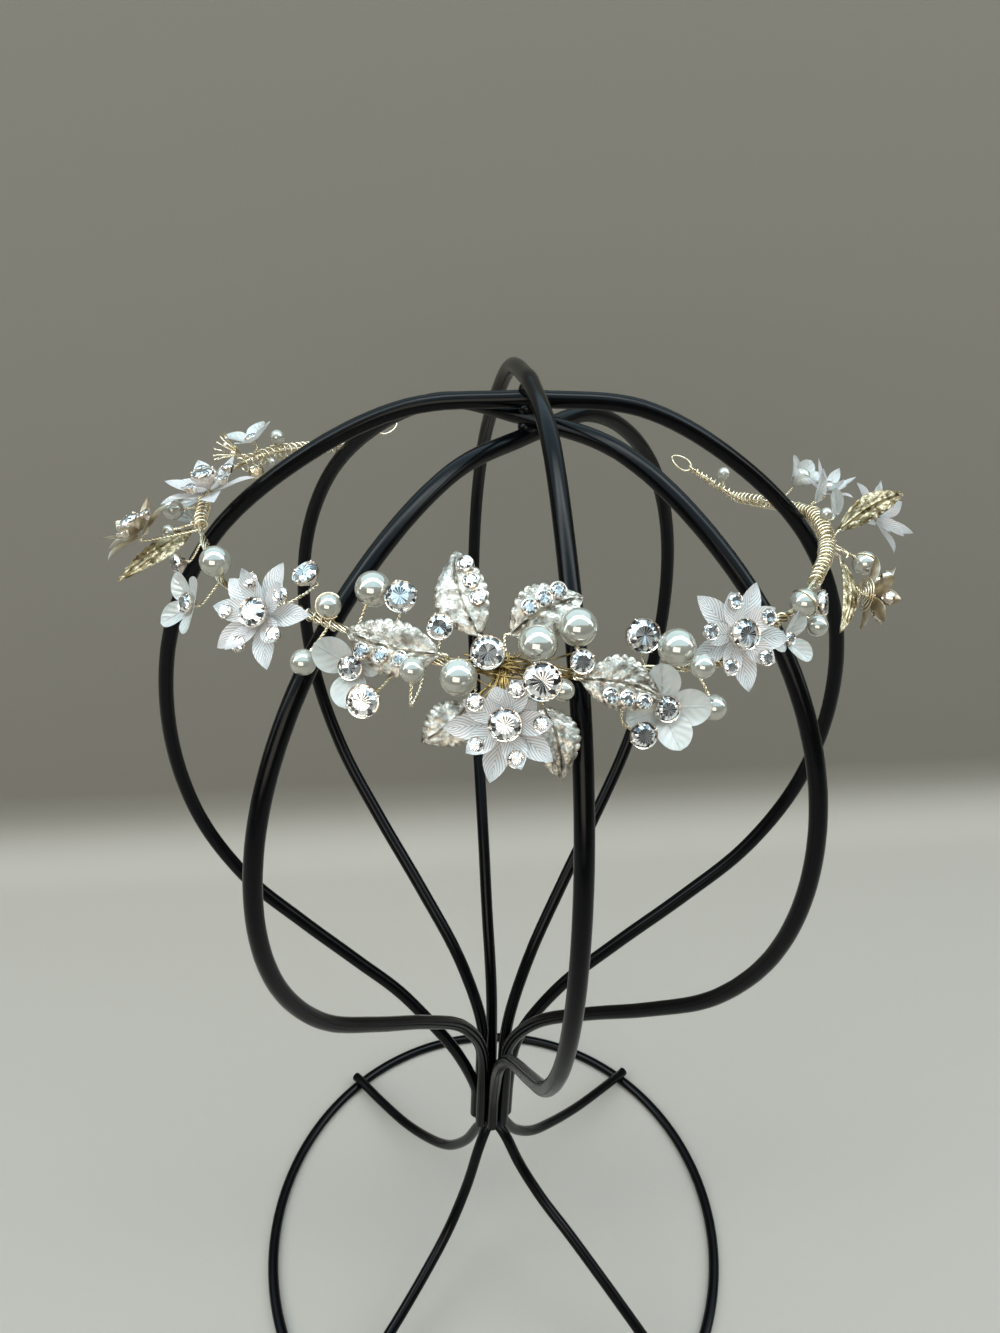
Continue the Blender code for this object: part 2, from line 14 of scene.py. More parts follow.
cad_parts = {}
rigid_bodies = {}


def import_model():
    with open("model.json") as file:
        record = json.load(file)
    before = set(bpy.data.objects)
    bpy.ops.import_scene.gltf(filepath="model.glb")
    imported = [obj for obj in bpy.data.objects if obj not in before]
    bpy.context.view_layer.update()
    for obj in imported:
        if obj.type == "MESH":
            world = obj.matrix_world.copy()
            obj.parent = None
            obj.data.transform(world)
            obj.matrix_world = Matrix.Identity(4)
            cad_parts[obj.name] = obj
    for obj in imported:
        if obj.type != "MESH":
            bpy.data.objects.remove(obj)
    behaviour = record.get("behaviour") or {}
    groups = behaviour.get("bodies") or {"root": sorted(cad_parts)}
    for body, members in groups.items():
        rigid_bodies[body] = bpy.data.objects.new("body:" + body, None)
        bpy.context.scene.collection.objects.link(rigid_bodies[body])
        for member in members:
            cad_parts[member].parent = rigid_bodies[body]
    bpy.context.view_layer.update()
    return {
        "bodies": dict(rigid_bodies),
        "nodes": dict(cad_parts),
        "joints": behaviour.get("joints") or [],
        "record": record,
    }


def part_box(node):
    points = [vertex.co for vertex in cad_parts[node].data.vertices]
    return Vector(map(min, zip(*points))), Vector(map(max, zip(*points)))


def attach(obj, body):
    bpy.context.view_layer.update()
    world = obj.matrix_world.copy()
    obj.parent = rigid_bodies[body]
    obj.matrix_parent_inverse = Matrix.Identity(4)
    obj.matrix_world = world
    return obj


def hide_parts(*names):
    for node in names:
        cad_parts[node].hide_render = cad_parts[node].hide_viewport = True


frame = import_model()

MM = 0.001

# Stand wire, the gap that its welds bridge, the balloon of four hoops, half the turn between its ribs
ROD = 4.0
WELD_GAP = 0.3
HOOP_PITCH = ROD + WELD_GAP
CAGE_RADIUS = 90.7
CROWN_HEIGHT = 335.5
NECK_HEIGHT = 80.0
BALLOON_HEIGHT = CROWN_HEIGHT - NECK_HEIGHT
HALF_RIB = 22.5
NECK_RADIUS = HOOP_PITCH / (2 * math.sin(math.radians(HALF_RIB)))
LEAN_RIGHT, LEAN_BACK = 6.2, 2.4
POST_GRIP = 12.0
LEG_TOP = 75.0
RING_RADIUS = 89.5
RING_RIGHT = 2.0
# Hoops rise over each other above this share of the balloon, within this reach of its axis
LIFT_FROM, LIFT_SPREAD = 0.68, 44.0
# Share of the balloon where the low pull of a rib is strongest, and how far it spreads
PULL_AT, PULL_SPREAD = 0.24, 0.15

# Rib from the neck up: height share of the balloon, reach share of its radius
RIB_SHAPE = (
    (0.000, 0.000), (0.056, 0.000), (0.163, 0.047), (0.256, 0.197), (0.334, 0.401),
    (0.408, 0.617), (0.486, 0.821), (0.582, 0.958), (0.688, 1.000), (0.795, 0.945),
    (0.890, 0.787), (0.960, 0.539), (0.999, 0.247),
)
# Ribs as bent by hand: place, swing off it, extra width, low pull outwards, belly drop
RIBS = {
    "front": (0, 3, -0.023, 3.1, 2.9), "front_right": (45, -2, -0.029, -4.7, 0.0),
    "right": (90, 2, 0.005, -2.0, 1.5), "back_right": (135, 0, -0.161, -2.8, -5.6),
    "back": (180, 3, 0.015, 3.7, -8.6), "back_left": (225, -2, -0.006, -5.2, -3.5),
    "left": (270, -9, 0.072, 6.6, 12.4), "front_left": (315, 5, 0.021, -3.2, -6.9),
}
HOOPS = (
    ("hoop_diagonal_left", "front_left", "back_right"),
    ("hoop_diagonal_right", "front_right", "back_left"),
    ("hoop_side", "left", "right"),
    ("hoop_front", "front", "back"),
)
# Legs: place and how far each is bowed up
LEGS = {"front_right": (44, 17), "back_right": (134, 2), "back_left": (220, -8), "front_left": (316, 0)}
LEG_SHAPE = (
    (0.000, 1.000), (0.035, 0.960), (0.085, 0.860), (0.160, 0.670), (0.280, 0.480),
    (0.430, 0.345), (0.620, 0.220), (0.820, 0.130),
)

# Route of the band: turn, drop, clear height over the rib line, bundle thickness
BAND_ROUTE = (
    (-150, 18.5, 6.5, 1.6), (-143, 20.5, 6.0, 2.2), (-134, 19.5, 7.0, 2.6),
    (-122, 16.5, 10.5, 2.6), (-110, 16.2, 12.8, 2.4), (-98, 17.4, 10.7, 2.2),
    (-88, 18.4, 8.6, 2.0), (-78, 19.0, 6.5, 1.8), (-66, 20.5, 4.5, 1.6),
    (-54, 18.0, 5.4, 1.6), (-44, 17.3, 5.4, 1.6), (-34, 17.5, 5.3, 1.6),
    (-24, 18.5, 5.3, 1.6), (-9, 19.7, 5.4, 1.8), (6, 20.0, 5.4, 1.6),
    (18, 21.3, 5.4, 1.6), (25, 22.3, 5.4, 1.6), (32, 20.5, 5.4, 1.6),
    (45, 20.8, 5.4, 1.8), (56, 20.1, 5.4, 2.2), (68, 20.0, 5.8, 2.8), (78, 20.5, 6.2, 3.2),
    (86, 20.7, 6.2, 2.8), (92, 21.5, 6.0, 2.4), (100, 24.5, 5.6, 2.4),
    (109, 27.7, 5.4, 2.6), (118, 30.0, 5.4, 2.6), (125, 26.0, 5.4, 2.0), (128, 23.5, 5.4, 1.4),
)
# Pearls: turn, drop, clear height, diameter
PEARLS = {
    "pearl_big_1": (-33, 11.2, 8.0, 6.9), "pearl_big_2": (-14.7, 18.9, 9.8, 6.8),
    "pearl_big_3": (-4, 13.5, 12.5, 7.0), "pearl_big_4": (2, 11.5, 12.5, 7.0),
    "pearl_big_5": (17, 16.4, 10.5, 7.0), "pearl_big_6": (-66, 15.5, 11.5, 6.5),
    "pearl_mid_1": (-20.5, 16.9, 14.5, 4.5), "pearl_mid_2": (-38.5, 14.0, 9.6, 4.7),
    "pearl_mid_3": (-38, 21.9, 8.0, 5.0), "pearl_mid_4": (-0.4, 20.4, 9.5, 4.1),
    "pearl_mid_5": (18.6, 17.6, 14.8, 4.5), "pearl_mid_6": (21, 26.5, 8.0, 4.8),
    "pearl_mid_7": (45, 17.5, 10.8, 5.6), "pearl_mid_8": (47, 22.8, 8.5, 4.5),
    "pearl_mid_9": (77, 25.5, 10.8, 5.6), "pearl_mid_10": (-93.5, 18.3, 16.2, 5.2),
    "pearl_mid_11": (121, 24.0, 8.5, 3.6), "pearl_mid_12": (-122, 12.5, 15.5, 4.0),
    "bead_gold": (-118, 21.0, 9.0, 4.4),
}
# Cut stones: turn, drop, clear height, diameter, facing turn, facing elevation
STONES = {
    "stone_1": (-11, 14.9, 11.8, 6.1, -6, 33), "stone_2": (-19, 13.3, 9.5, 4.8, -10, 33),
    "stone_3": (-27, 10.7, 9.5, 6.1, -14, 36), "stone_4": (-3.7, 15.1, 20.0, 6.7, -3, 30),
    "stone_5": (2, 15.1, 14.0, 4.3, 2, 30), "stone_6": (13, 15.3, 7.5, 6.5, 6, 33),
    "stone_8": (10, 27.9, 8.5, 4.9, 4, 24), "stone_9": (-27, 24.3, 8.5, 6.1, -14, 30),
    "stone_11": (52.5, 21.5, 8.0, 6.0, 66, 12), "stone_12": (-82, 24.8, 8.0, 5.0, -58, 0),
    "stone_13": (-48, 12.3, 7.5, 5.6, -60, 60),
}
# Stones that show less light: their facet tones are darkened by this factor, a painted shade
SHADED_STONES = {"stone_4": 0.3, "stone_5": 0.6, "stone_8": 0.6}
# Leaves: foot (turn, drop, clear height), tip (the same), width, stones on it
LEAVES = {
    "leaf_1": ((-13, 14.5, 7.0), (-22, 5.2, 8.0), 10.4, 3),
    "leaf_2": ((-8, 14.5, 6.2), (4, 8.9, 7.0), 10.4, 3),
    "leaf_3": ((-18, 15.9, 11.0), (-33, 15.9, 11.5), 10.3, 3),
    "leaf_4": ((2, 18.1, 12.0), (13, 21.1, 12.5), 9.8, 3),
    "leaf_5": ((-13, 23.6, 6.5), (-18, 29.3, 7.0), 8.5, 0),
    "leaf_6": ((-3, 23.6, 6.5), (0, 34.0, 7.0), 8.5, 0),
    "leaf_7": ((74, 16.0, 12.5), (83, 9.8, 35.5), 6.0, 0),
    "leaf_8": ((74, 22.8, 8.4), (61, 32.5, 4.0), 4.5, 0),
}
# Metal flowers: turn, drop, clear height, diameter, facing turn and elevation, roll, small stones
FLOWERS = {
    "flower_1": (-8, 23.8, 11.2, 20.5, -4, 30, 0, 5),
    "flower_2": (-47.2, 17.0, 12.0, 21.0, -34, 40, -25, 5),
    "flower_3": (27.6, 16.9, 11.0, 20.8, 14, 32, 22, 5),
    "flower_4": (-95, 14.4, 12.6, 20.0, -90, 80, -20, 4),
    "flower_5": (-85, 18.8, 21.2, 16.0, -90, 58, 0, 2),
    "flower_6": (70, 28.4, 9.4, 14.0, 88, -8, 15, 4),
    "flower_7": (94, 25.0, 22.5, 16.0, 100, 25, 0, 0),
    "flower_8": (96, 18.3, 15.5, 11.0, 60, 78, 0, 0),
}
# Flowers with milky petals: turn, drop, clear height, petals, petal length and width,
# centre stone, facing turn and elevation, roll
FROSTED = {
    "frosted_1": (-67, 24.0, 9.0, 4, 6.0, 4.4, 4.4, -55, 28, 60),
    "frosted_2": (-31, 21.3, 6.8, 3, 6.0, 5.4, 4.7, -18, 32, 32),
    "frosted_3": (14, 25.1, 8.3, 4, 6.0, 5.4, 4.9, 6, 30, 5),
    "frosted_4": (-115, 9.8, 19.8, 4, 5.6, 4.4, 3.4, -100, 70, 0),
    "frosted_5": (105, 19.7, 16.3, 5, 5.6, 4.2, 4.8, 60, 62, 0),
    "frosted_6": (41, 23.2, 6.5, 3, 4.6, 3.4, 2.4, 30, 28, 60),
}
# Bends of the stems that are led round a neighbour: turn, drop, clear height
BENDS = {
    "pearl_mid_1": ((-20, 22.0, 7.0), (-20, 22.5, 11.5)),
    "stone_8": ((8, 27.0, 5.0),), "stone_9": ((-25, 21.5, 4.0),),
    "flower_6": ((77, 24.0, 6.0), (74, 26.0, 5.5)),
}

# Small pieces that the solids leave out: pearls as above, a leaf seen on its edge, single petals as
# turn, drop, clear height, length, width, facing turn and elevation, roll
SMALL_PEARLS = {
    "pearl_small_1": (84, 17.5, 9.4, 3.0), "pearl_small_2": (-118, 17.5, 7.2, 2.4),
    "pearl_small_3": (-96, 11.5, 16.5, 5.0), "pearl_small_4": (-104, 14.5, 13.0, 3.4),
    "pearl_small_5": (-88, 20.5, 14.0, 3.2),
}
EDGE_LEAVES = {"leaf_edge": ((-89, 19.5, 10.0), (-79.3, 25.2, 19.5), 6.5, 0)}
LOOSE_PETALS = (
    (103, 22.0, 2.0, 4.5, 4.0, 60, 40, 120), (-93, 20.5, 9.0, 6.5, 3.4, -60, 50, 200),
    (-98, 17.0, 12.0, 7.0, 3.6, -50, 40, 230), (88, 21.0, 10.0, 6.0, 3.6, 60, 30, 60),
    (93, 19.5, 9.5, 7.5, 3.2, 20, 15, 80), (89, 20.5, 12.0, 7.0, 3.0, 10, 15, 105),
)
# Petal length against the solid flower, depth of its bowl, and height of its centre stone
PETAL_REACH = {"flower_4": 1.12, "flower_5": 1.15, "flower_6": 1.25, "flower_7": 1.3, "flower_8": 1.2}
BOWL = {"flower_1": 0.8, "flower_2": 1.25, "flower_3": 0.6, "flower_4": 1.5, "flower_5": 1.4,
        "flower_7": 1.4, "flower_8": 1.8}
STONE_LIFT = {"flower_4": 0.7, "flower_5": 0.65}
# Two rounds of petals: turn in petals, reach and width as shares of the flower's, rise, height
PETAL_ROUNDS = ((0, 0.8, 0.4, 3.0, 0.5), (0.5, 1.04, 0.42, 1.6, -0.3))
# Flowers whose petals are plated and left without enamel
GILT = ("flower_5", "flower_6")
# Close wire wraps: first and last turn, pitch, radius at both ends
WRAPS = (
    ("wrap_left_back", -138, -112, 2.0, 1.9, 1.9), ("wrap_junction", 77, 92, 1.8, 1.9, 1.75),
    ("wrap_spine", 92, 109, 1.7, 1.5, 1.45), ("wrap_right_end", 109, 127, 1.5, 1.7, 0.9),
    ("wrap_front_right", 57, 77, 1.8, 1.3, 1.85), ("wrap_left_side", -101, -86, 1.8, 1.5, 1.4),
    ("wrap_front", 20, 44, 3.2, 0.95, 0.95), ("wrap_left", -49, -37, 2.0, 0.95, 0.95),
)

# Radius of the vine's fine wire, of the wire of its wraps and of its end eyes; pitch of a twisted stem
FINE = 0.17
WRAP_WIRE = 0.26
EYE_WIRE = 0.28
STEM_PITCH = 1.7
# Points in each stretch of the band's route, and the points between which its strands lie loose
BAND_STEPS = 8
LOOSE_FROM, LOOSE_TO = 54, 150
# Middle of the brown knot
KNOT_TURN = -9
# Wedges round a cut stone, and the least facet tone that a stone's painted shade leaves bright
WEDGES = 16
BRIGHT = 0.9
# Width of a metal flower's centre stone and small stones, depth of a cup against its stone
CENTRE_STONE = 6.2
PETAL_STONE = 3.2
CUP_DEPTH = 0.45
# Colour inputs and output of a mix node
FACTOR, COLOUR_A, COLOUR_B, COLOUR_OUT = 0, 6, 7, 2


def feed(tree, made, inputs):
    """Fill a node's inputs: each is a plain value or another node's socket."""
    for key, value in inputs.items():
        if isinstance(value, bpy.types.NodeSocket):
            tree.links.new(value, made.inputs[key])
        else:
            made.inputs[key].default_value = value


def node(tree, kind, inputs=None, **settings):
    """Add a node with its settings and fill its inputs."""
    made = tree.nodes.new(kind)
    for key, value in settings.items():
        setattr(made, key, value)
    feed(tree, made, inputs or {})
    return made


def srgb(code):
    """Linear colour from an sRGB hex code."""
    parts = [int(code[i:i + 2], 16) / 255 for i in (1, 3, 5)]
    return (*[c / 12.92 if c <= 0.04045 else ((c + 0.055) / 1.055) ** 2.4 for c in parts], 1.0)


def set_stops(ramp, first, last, *between):
    """Give a colour ramp its two end stops and any between them, as (position, sRGB code)."""
    stops = ramp.color_ramp.elements
    for stop, (position, code) in zip(stops, (first, last)):
        stop.position, stop.color = position, srgb(code)
    for position, code in between:
        stops.new(position).color = srgb(code)


def blank_material(name):
    """New material with its tree, its shader and Object coordinates."""
    mat = bpy.data.materials.new(name)
    mat.use_nodes = True
    tree = mat.node_tree
    return mat, tree, tree.nodes["Principled BSDF"], node(tree, "ShaderNodeTexCoord").outputs["Object"]


def clouds(tree, place, low, high, **noise):
    """Uneven tone of a surface: a noise, and its colours between two stops as (level, sRGB code)."""
    cloud = node(tree, "ShaderNodeTexNoise", {"Vector": place, **noise}).outputs["Fac"]
    ramp = node(tree, "ShaderNodeValToRGB", {"Fac": cloud})
    set_stops(ramp, low, high)
    return cloud, ramp.outputs["Color"]


def enamel_material():
    """Black gloss enamel, dipped and baked on steel wire: deep black, thin sharp streaks, a little dust."""
    mat, tree, shader, place = blank_material("black gloss enamel on steel wire")
    peel = node(tree, "ShaderNodeTexNoise", {"Vector": place, "Scale": 900.0, "Detail": 2.0})
    dust, tone = clouds(tree, place, (0.5, "#020203"), (0.85, "#08080A"), Scale=160.0, Detail=5.0,
                        Roughness=0.7)
    gloss = node(tree, "ShaderNodeMapRange", {"Value": dust, "To Min": 0.12, "To Max": 0.3})
    bump = node(tree, "ShaderNodeBump",
                {"Strength": 0.05, "Distance": 0.0002, "Height": peel.outputs["Fac"]})
    feed(tree, shader, {"IOR": 1.5, "Specular IOR Level": 0.14, "Base Color": tone,
                        "Roughness": gloss.outputs["Result"], "Normal": bump.outputs["Normal"]})
    return mat


def plated_material(name, light, dark, rough, patch=500.0):
    """Bright plating on drawn wire and stamped metal: clean where it is rubbed, duller in its hollows."""
    mat, tree, shader, place = blank_material(name)
    cloud, tone = clouds(tree, place, (0.32, dark), (0.64, light), Scale=patch, Detail=4.0)
    gloss = node(tree, "ShaderNodeMapRange", {"Value": cloud, "To Min": rough + 0.1, "To Max": rough})
    bump = node(tree, "ShaderNodeBump", {"Strength": 0.12, "Distance": 0.0001, "Height": cloud})
    feed(tree, shader, {"Metallic": 1.0, "Base Color": tone, "Roughness": gloss.outputs["Result"],
                        "Normal": bump.outputs["Normal"]})
    return mat


def pearl_material():
    """Glass pearl under nacre lacquer: ivory body with a painted sheen at its rim, mirrored stripes of the
    lights in a clear hard gloss.
    """
    mat, tree, shader, place = blank_material("ivory nacre lacquer on glass pearl")
    _, body = clouds(tree, place, (0.3, "#A9A69C"), (0.7, "#B7B4AA"), Scale=420.0, Detail=3.0)
    # The body colour turns lighter towards the rim as the view grazes it: a painted sheen
    edge = node(tree, "ShaderNodeLayerWeight", {"Blend": 0.3})
    painted_rim_sheen = node(tree, "ShaderNodeMix", {FACTOR: edge.outputs["Facing"], COLOUR_A: body,
                                        COLOUR_B: srgb("#C4C0B0")}, data_type="RGBA")
    feed(tree, shader, {"Base Color": painted_rim_sheen.outputs[COLOUR_OUT], "IOR": 1.53, "Metallic": 0.6,
                        "Roughness": 0.1, "Coat Weight": 0.7, "Coat Roughness": 0.04, "Coat IOR": 1.7})
    return mat


def crystal_material():
    """Foil-backed cut glass: every facet mirrors its own tone, from white to near black; the tones are
    painted reflections and glints.
    """
    mat, tree, shader, place = blank_material("foil-backed cut crystal")
    tone = node(tree, "ShaderNodeAttribute", attribute_name="tone")
    ramp = node(tree, "ShaderNodeValToRGB", {"Fac": tone.outputs["Fac"]})
    set_stops(ramp, (0.0, "#17181C"), (1.0, "#FFFFFF"), (0.5, "#8D9093"))
    speck = node(tree, "ShaderNodeTexNoise", {"Vector": place, "Scale": 1500.0, "Detail": 1.0})
    mixed = node(tree, "ShaderNodeMix", {FACTOR: 0.15, COLOUR_A: ramp.outputs["Color"],
                                         COLOUR_B: speck.outputs["Fac"]},
                 data_type="RGBA", blend_type="OVERLAY")
    feed(tree, shader, {"Base Color": mixed.outputs[COLOUR_OUT], "Metallic": 0.8, "IOR": 1.56,
                        "Roughness": 0.06, "Coat Weight": 1.0, "Coat Roughness": 0.02})
    return mat


def casting_material(name, light, dark):
    """Plated casting with a hammered skin: satin high spots, darker pits and dots about 0.5 mm apart."""
    mat, tree, shader, place = blank_material(name)
    dots = node(tree, "ShaderNodeTexVoronoi", {"Vector": place, "Scale": 1900.0}, feature="F1")
    grain, tone = clouds(tree, place, (0.36, dark), (0.58, light), Scale=650.0, Detail=5.0)
    height = node(tree, "ShaderNodeMath", {0: dots.outputs["Distance"], 1: 0.8, 2: grain},
                  operation="MULTIPLY_ADD")
    bump = node(tree, "ShaderNodeBump", {"Strength": 0.35, "Distance": 0.0003, "Height": height.outputs[0]})
    gloss = node(tree, "ShaderNodeMapRange", {"Value": grain, "To Min": 0.44, "To Max": 0.3})
    feed(tree, shader, {"Metallic": 1.0, "Base Color": tone, "Roughness": gloss.outputs["Result"],
                        "Normal": bump.outputs["Normal"]})
    return mat


def etched_bump(tree, depth, lines):
    """Bump of a fine middle line with slanted hatching on both sides, along a petal's own UV map."""
    uv = node(tree, "ShaderNodeSeparateXYZ", {0: node(tree, "ShaderNodeUVMap", uv_map="petal").outputs[0]})
    off = node(tree, "ShaderNodeMath", {0: uv.outputs["Y"], 1: 0.5}, operation="SUBTRACT")
    aside = node(tree, "ShaderNodeMath", {0: off.outputs[0]}, operation="ABSOLUTE")
    slant = node(tree, "ShaderNodeMath", {0: aside.outputs[0], 1: -0.8, 2: uv.outputs["X"]},
                 operation="MULTIPLY_ADD")
    run = node(tree, "ShaderNodeMath", {0: slant.outputs[0], 1: lines}, operation="MULTIPLY")
    hatch = node(tree, "ShaderNodeMath", {0: run.outputs[0]}, operation="SINE")
    line = node(tree, "ShaderNodeMapRange", {"Value": aside.outputs[0], "From Min": 0.0, "From Max": 0.04,
                                             "To Min": -3.0, "To Max": 0.0})
    relief = node(tree, "ShaderNodeMath", {0: hatch.outputs[0], 1: line.outputs[0]}, operation="ADD")
    bump = node(tree, "ShaderNodeBump", {"Strength": 0.8, "Distance": depth, "Height": relief.outputs[0]})
    return bump, hatch


def petal_material():
    """Thin etched metal petals under ivory satin enamel: pearly and blushed, with hatched lines darkened as
    painted shade in their grooves.

    The real lines are about 0.3 mm apart; they are drawn about 1 mm apart so that they show.
    """
    mat, tree, shader, place = blank_material("ivory blush enamel on etched metal")
    bump, hatch = etched_bump(tree, 0.00004, 62.0)
    _, tone = clouds(tree, place, (0.3, "#FBF3F1"), (0.7, "#F8FCFD"), Scale=220.0, Detail=2.0)
    # The hatch lines are darkened in the colour as well: painted shade in the etched grooves
    shade = node(tree, "ShaderNodeMapRange", {"Value": hatch.outputs[0], "From Min": -0.98,
                                              "From Max": -0.5, "To Min": 0.5, "To Max": 1.0})
    lined = node(tree, "ShaderNodeMix", {FACTOR: 1.0, COLOUR_A: tone, COLOUR_B: shade.outputs["Result"]},
                 data_type="RGBA", blend_type="MULTIPLY")
    feed(tree, shader, {"Metallic": 0.02, "IOR": 1.5, "Roughness": 0.3, "Coat Weight": 0.4,
                        "Coat Roughness": 0.2, "Base Color": lined.outputs[COLOUR_OUT],
                        "Normal": bump.outputs["Normal"]})
    return mat


def milk_material():
    """Moulded petals of frosted resin: milky, fine grooved, letting light through at their thin edges."""
    mat, tree, shader, place = blank_material("frosted moulded resin")
    bump, _ = etched_bump(tree, 0.00005, 28.0)
    _, tone = clouds(tree, place, (0.3, "#DEDDD8"), (0.7, "#EEEDEA"), Scale=260.0, Detail=2.0)
    feed(tree, shader, {"IOR": 1.5, "Roughness": 0.24, "Transmission Weight": 0.4,
                        "Subsurface Weight": 0.4, "Subsurface Scale": 0.002, "Base Color": tone,
                        "Normal": bump.outputs["Normal"]})
    return mat


def backdrop_material():
    """Matt painted board: pale floor and taupe wall, left clear on its back so that it hides nothing."""
    mat, tree, shader, place = blank_material("matt painted board")
    height = node(tree, "ShaderNodeSeparateXYZ", {0: place})
    rise = node(tree, "ShaderNodeMapRange", {"Value": height.outputs["Z"], "From Min": 0.0,
                                             "From Max": 0.03}, interpolation_type="SMOOTHSTEP")
    tone = node(tree, "ShaderNodeMix", {FACTOR: rise.outputs["Result"], COLOUR_A: srgb("#9E968D"),
                                        COLOUR_B: srgb("#777167")}, data_type="RGBA")
    feed(tree, shader, {"Roughness": 0.9, "Base Color": tone.outputs[COLOUR_OUT]})
    side = node(tree, "ShaderNodeNewGeometry").outputs["Backfacing"]
    clear = node(tree, "ShaderNodeBsdfTransparent")
    board = node(tree, "ShaderNodeMixShader", {0: side, 1: shader.outputs[0], 2: clear.outputs[0]})
    feed(tree, tree.nodes["Material Output"], {"Surface": board.outputs[0]})
    return mat


def smooth_path(points, steps):
    """Points of a Catmull-Rom curve through the given points."""
    points = [Vector(p) for p in points]
    ends = [2 * points[0] - points[1]] + points + [2 * points[-1] - points[-2]]
    path = []
    for a, b, c, d in zip(ends, ends[1:], ends[2:], ends[3:]):
        for i in range(steps):
            t = i / steps
            path.append(0.5 * ((2 * b) + (c - a) * t + (2 * a - 5 * b + 4 * c - d) * t * t
                               + (3 * b - a - 3 * c + d) * t ** 3))
    path.append(points[-1])
    return path


def direction(turn, elevation):
    """Unit vector that faces the given turn and looks up by the given elevation."""
    a, e = math.radians(turn - 90), math.radians(elevation)
    return Vector((math.cos(a) * math.cos(e), math.sin(a) * math.cos(e), math.sin(e)))


def polar(radius, angle, height=0.0):
    """Point at a radius, an angle in radians and a height."""
    return Vector((radius * math.cos(angle), radius * math.sin(angle), height))


def axis_at(height):
    """Centre line of the leaning balloon at a height."""
    share = (height - NECK_HEIGHT) / BALLOON_HEIGHT
    return Vector((LEAN_RIGHT * share, LEAN_BACK * share, height))


def bell(x, centre, width):
    """Smooth hump of height 1 round a centre."""
    return math.exp(-((x - centre) / width) ** 2)


def rib_points(name, level, steps):
    """Smooth centre line of one rib from the neck to the crown, at its hoop's level in the stack."""
    place, swing, wider, pull, drop = RIBS[name]
    rows = []
    for share, out in RIB_SHAPE:
        reach = NECK_RADIUS + (CAGE_RADIUS - NECK_RADIUS) * out * (1 + wider)
        reach += pull * bell(share, PULL_AT, PULL_SPREAD) if out else 0.0
        height = NECK_HEIGHT + BALLOON_HEIGHT * share
        height -= drop * math.sin(math.pi * share) ** 2
        height += level * HOOP_PITCH * bell(reach, 0.0, LIFT_SPREAD) if share > LIFT_FROM else 0.0
        rows.append((reach, height, place + swing * min(1.0, out / 0.2)))
    rows.append((0.0, CROWN_HEIGHT + level * HOOP_PITCH, place + swing))
    path = []
    for reach, height, turn in smooth_path(rows, steps):
        if height < NECK_HEIGHT + 0.3 * BALLOON_HEIGHT:
            reach = max(NECK_RADIUS, reach)
        path.append(axis_at(height) + reach * direction(turn, 0))
    return path


RIB_LINES = {rib: rib_points(rib, level, 2) for level, hoop in enumerate(HOOPS) for rib in hoop[1:]}


def rib_reach(name, height):
    """How far a rib's upper half stands from the balloon's centre line at a height."""
    reach = 0.0
    path = RIB_LINES[name]
    for low, high in zip(path, path[1:]):
        if low.z <= height <= high.z and low.z > NECK_HEIGHT + 0.5 * BALLOON_HEIGHT:
            point = low.lerp(high, (height - low.z) / (high.z - low.z))
            reach = (point - axis_at(height)).length
    return reach


def cage_reach(turn, height):
    """Reach of the balloon between its ribs at a turn and a height."""
    ribs = sorted((place + swing, name) for name, (place, swing, *_) in RIBS.items())
    ribs = [(ribs[-1][0] - 360, ribs[-1][1])] + ribs + [(ribs[0][0] + 360, ribs[0][1])]
    turn %= 360
    for (low, low_name), (high, high_name) in zip(ribs, ribs[1:]):
        if low <= turn <= high:
            near, far = rib_reach(low_name, height), rib_reach(high_name, height)
            return near + (far - near) * (turn - low) / (high - low)
    return CAGE_RADIUS


def on_head(turn, drop, clear):
    """Point at a turn and a drop below the crown that stands off the balloon by a clear height."""
    height = CROWN_HEIGHT - drop
    return axis_at(height) + (cage_reach(turn, height) + clear) * direction(turn, 0)


def band_at(turn):
    """Centre point of the band at a turn."""
    for low, high in zip(BAND_ROUTE, BAND_ROUTE[1:]):
        if low[0] <= turn <= high[0]:
            t = (turn - low[0]) / (high[0] - low[0])
            return on_head(*low[:3]).lerp(on_head(*high[:3]), t)
    return on_head(*BAND_ROUTE[0 if turn < 0 else -1][:3])


def facing_matrix(point, facing, roll=0.0, along=None):
    """Frame at a point with +Z on the facing direction and +X level, rolled or along a line."""
    z = facing.normalized()
    x = along if along else Vector((0, 0, 1)).cross(z)
    if x.length < 1e-3:
        x = Vector((1, 0, 0))
    x = (x - z * x.dot(z)).normalized()
    frame = Matrix((x, z.cross(x), z)).transposed().to_4x4()
    return Matrix.Translation(point) @ frame @ Matrix.Rotation(math.radians(roll), 4, "Z")


def make_piece(name, build, mat, smooth=True, sharp=40):
    """Object of a mesh in millimetres, moved to the stand's place and turned into metres."""
    build.transform(Matrix.Scale(MM, 4) @ Matrix.Translation(ORIGIN))
    mesh = bpy.data.meshes.new(name)
    build.to_mesh(mesh)
    build.free()
    obj = bpy.data.objects.new(name, mesh)
    bpy.context.scene.collection.objects.link(obj)
    if smooth:
        mesh.shade_smooth()
        mesh.set_sharp_from_angle(angle=math.radians(sharp))
    mesh.materials.append(mat)
    return obj


def wear(obj, slot, *nodes):
    """The piece rides on the one body and stands for these nodes; its slot is not used."""
    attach(obj, "root")
    if nodes:
        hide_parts(*nodes)
    return obj


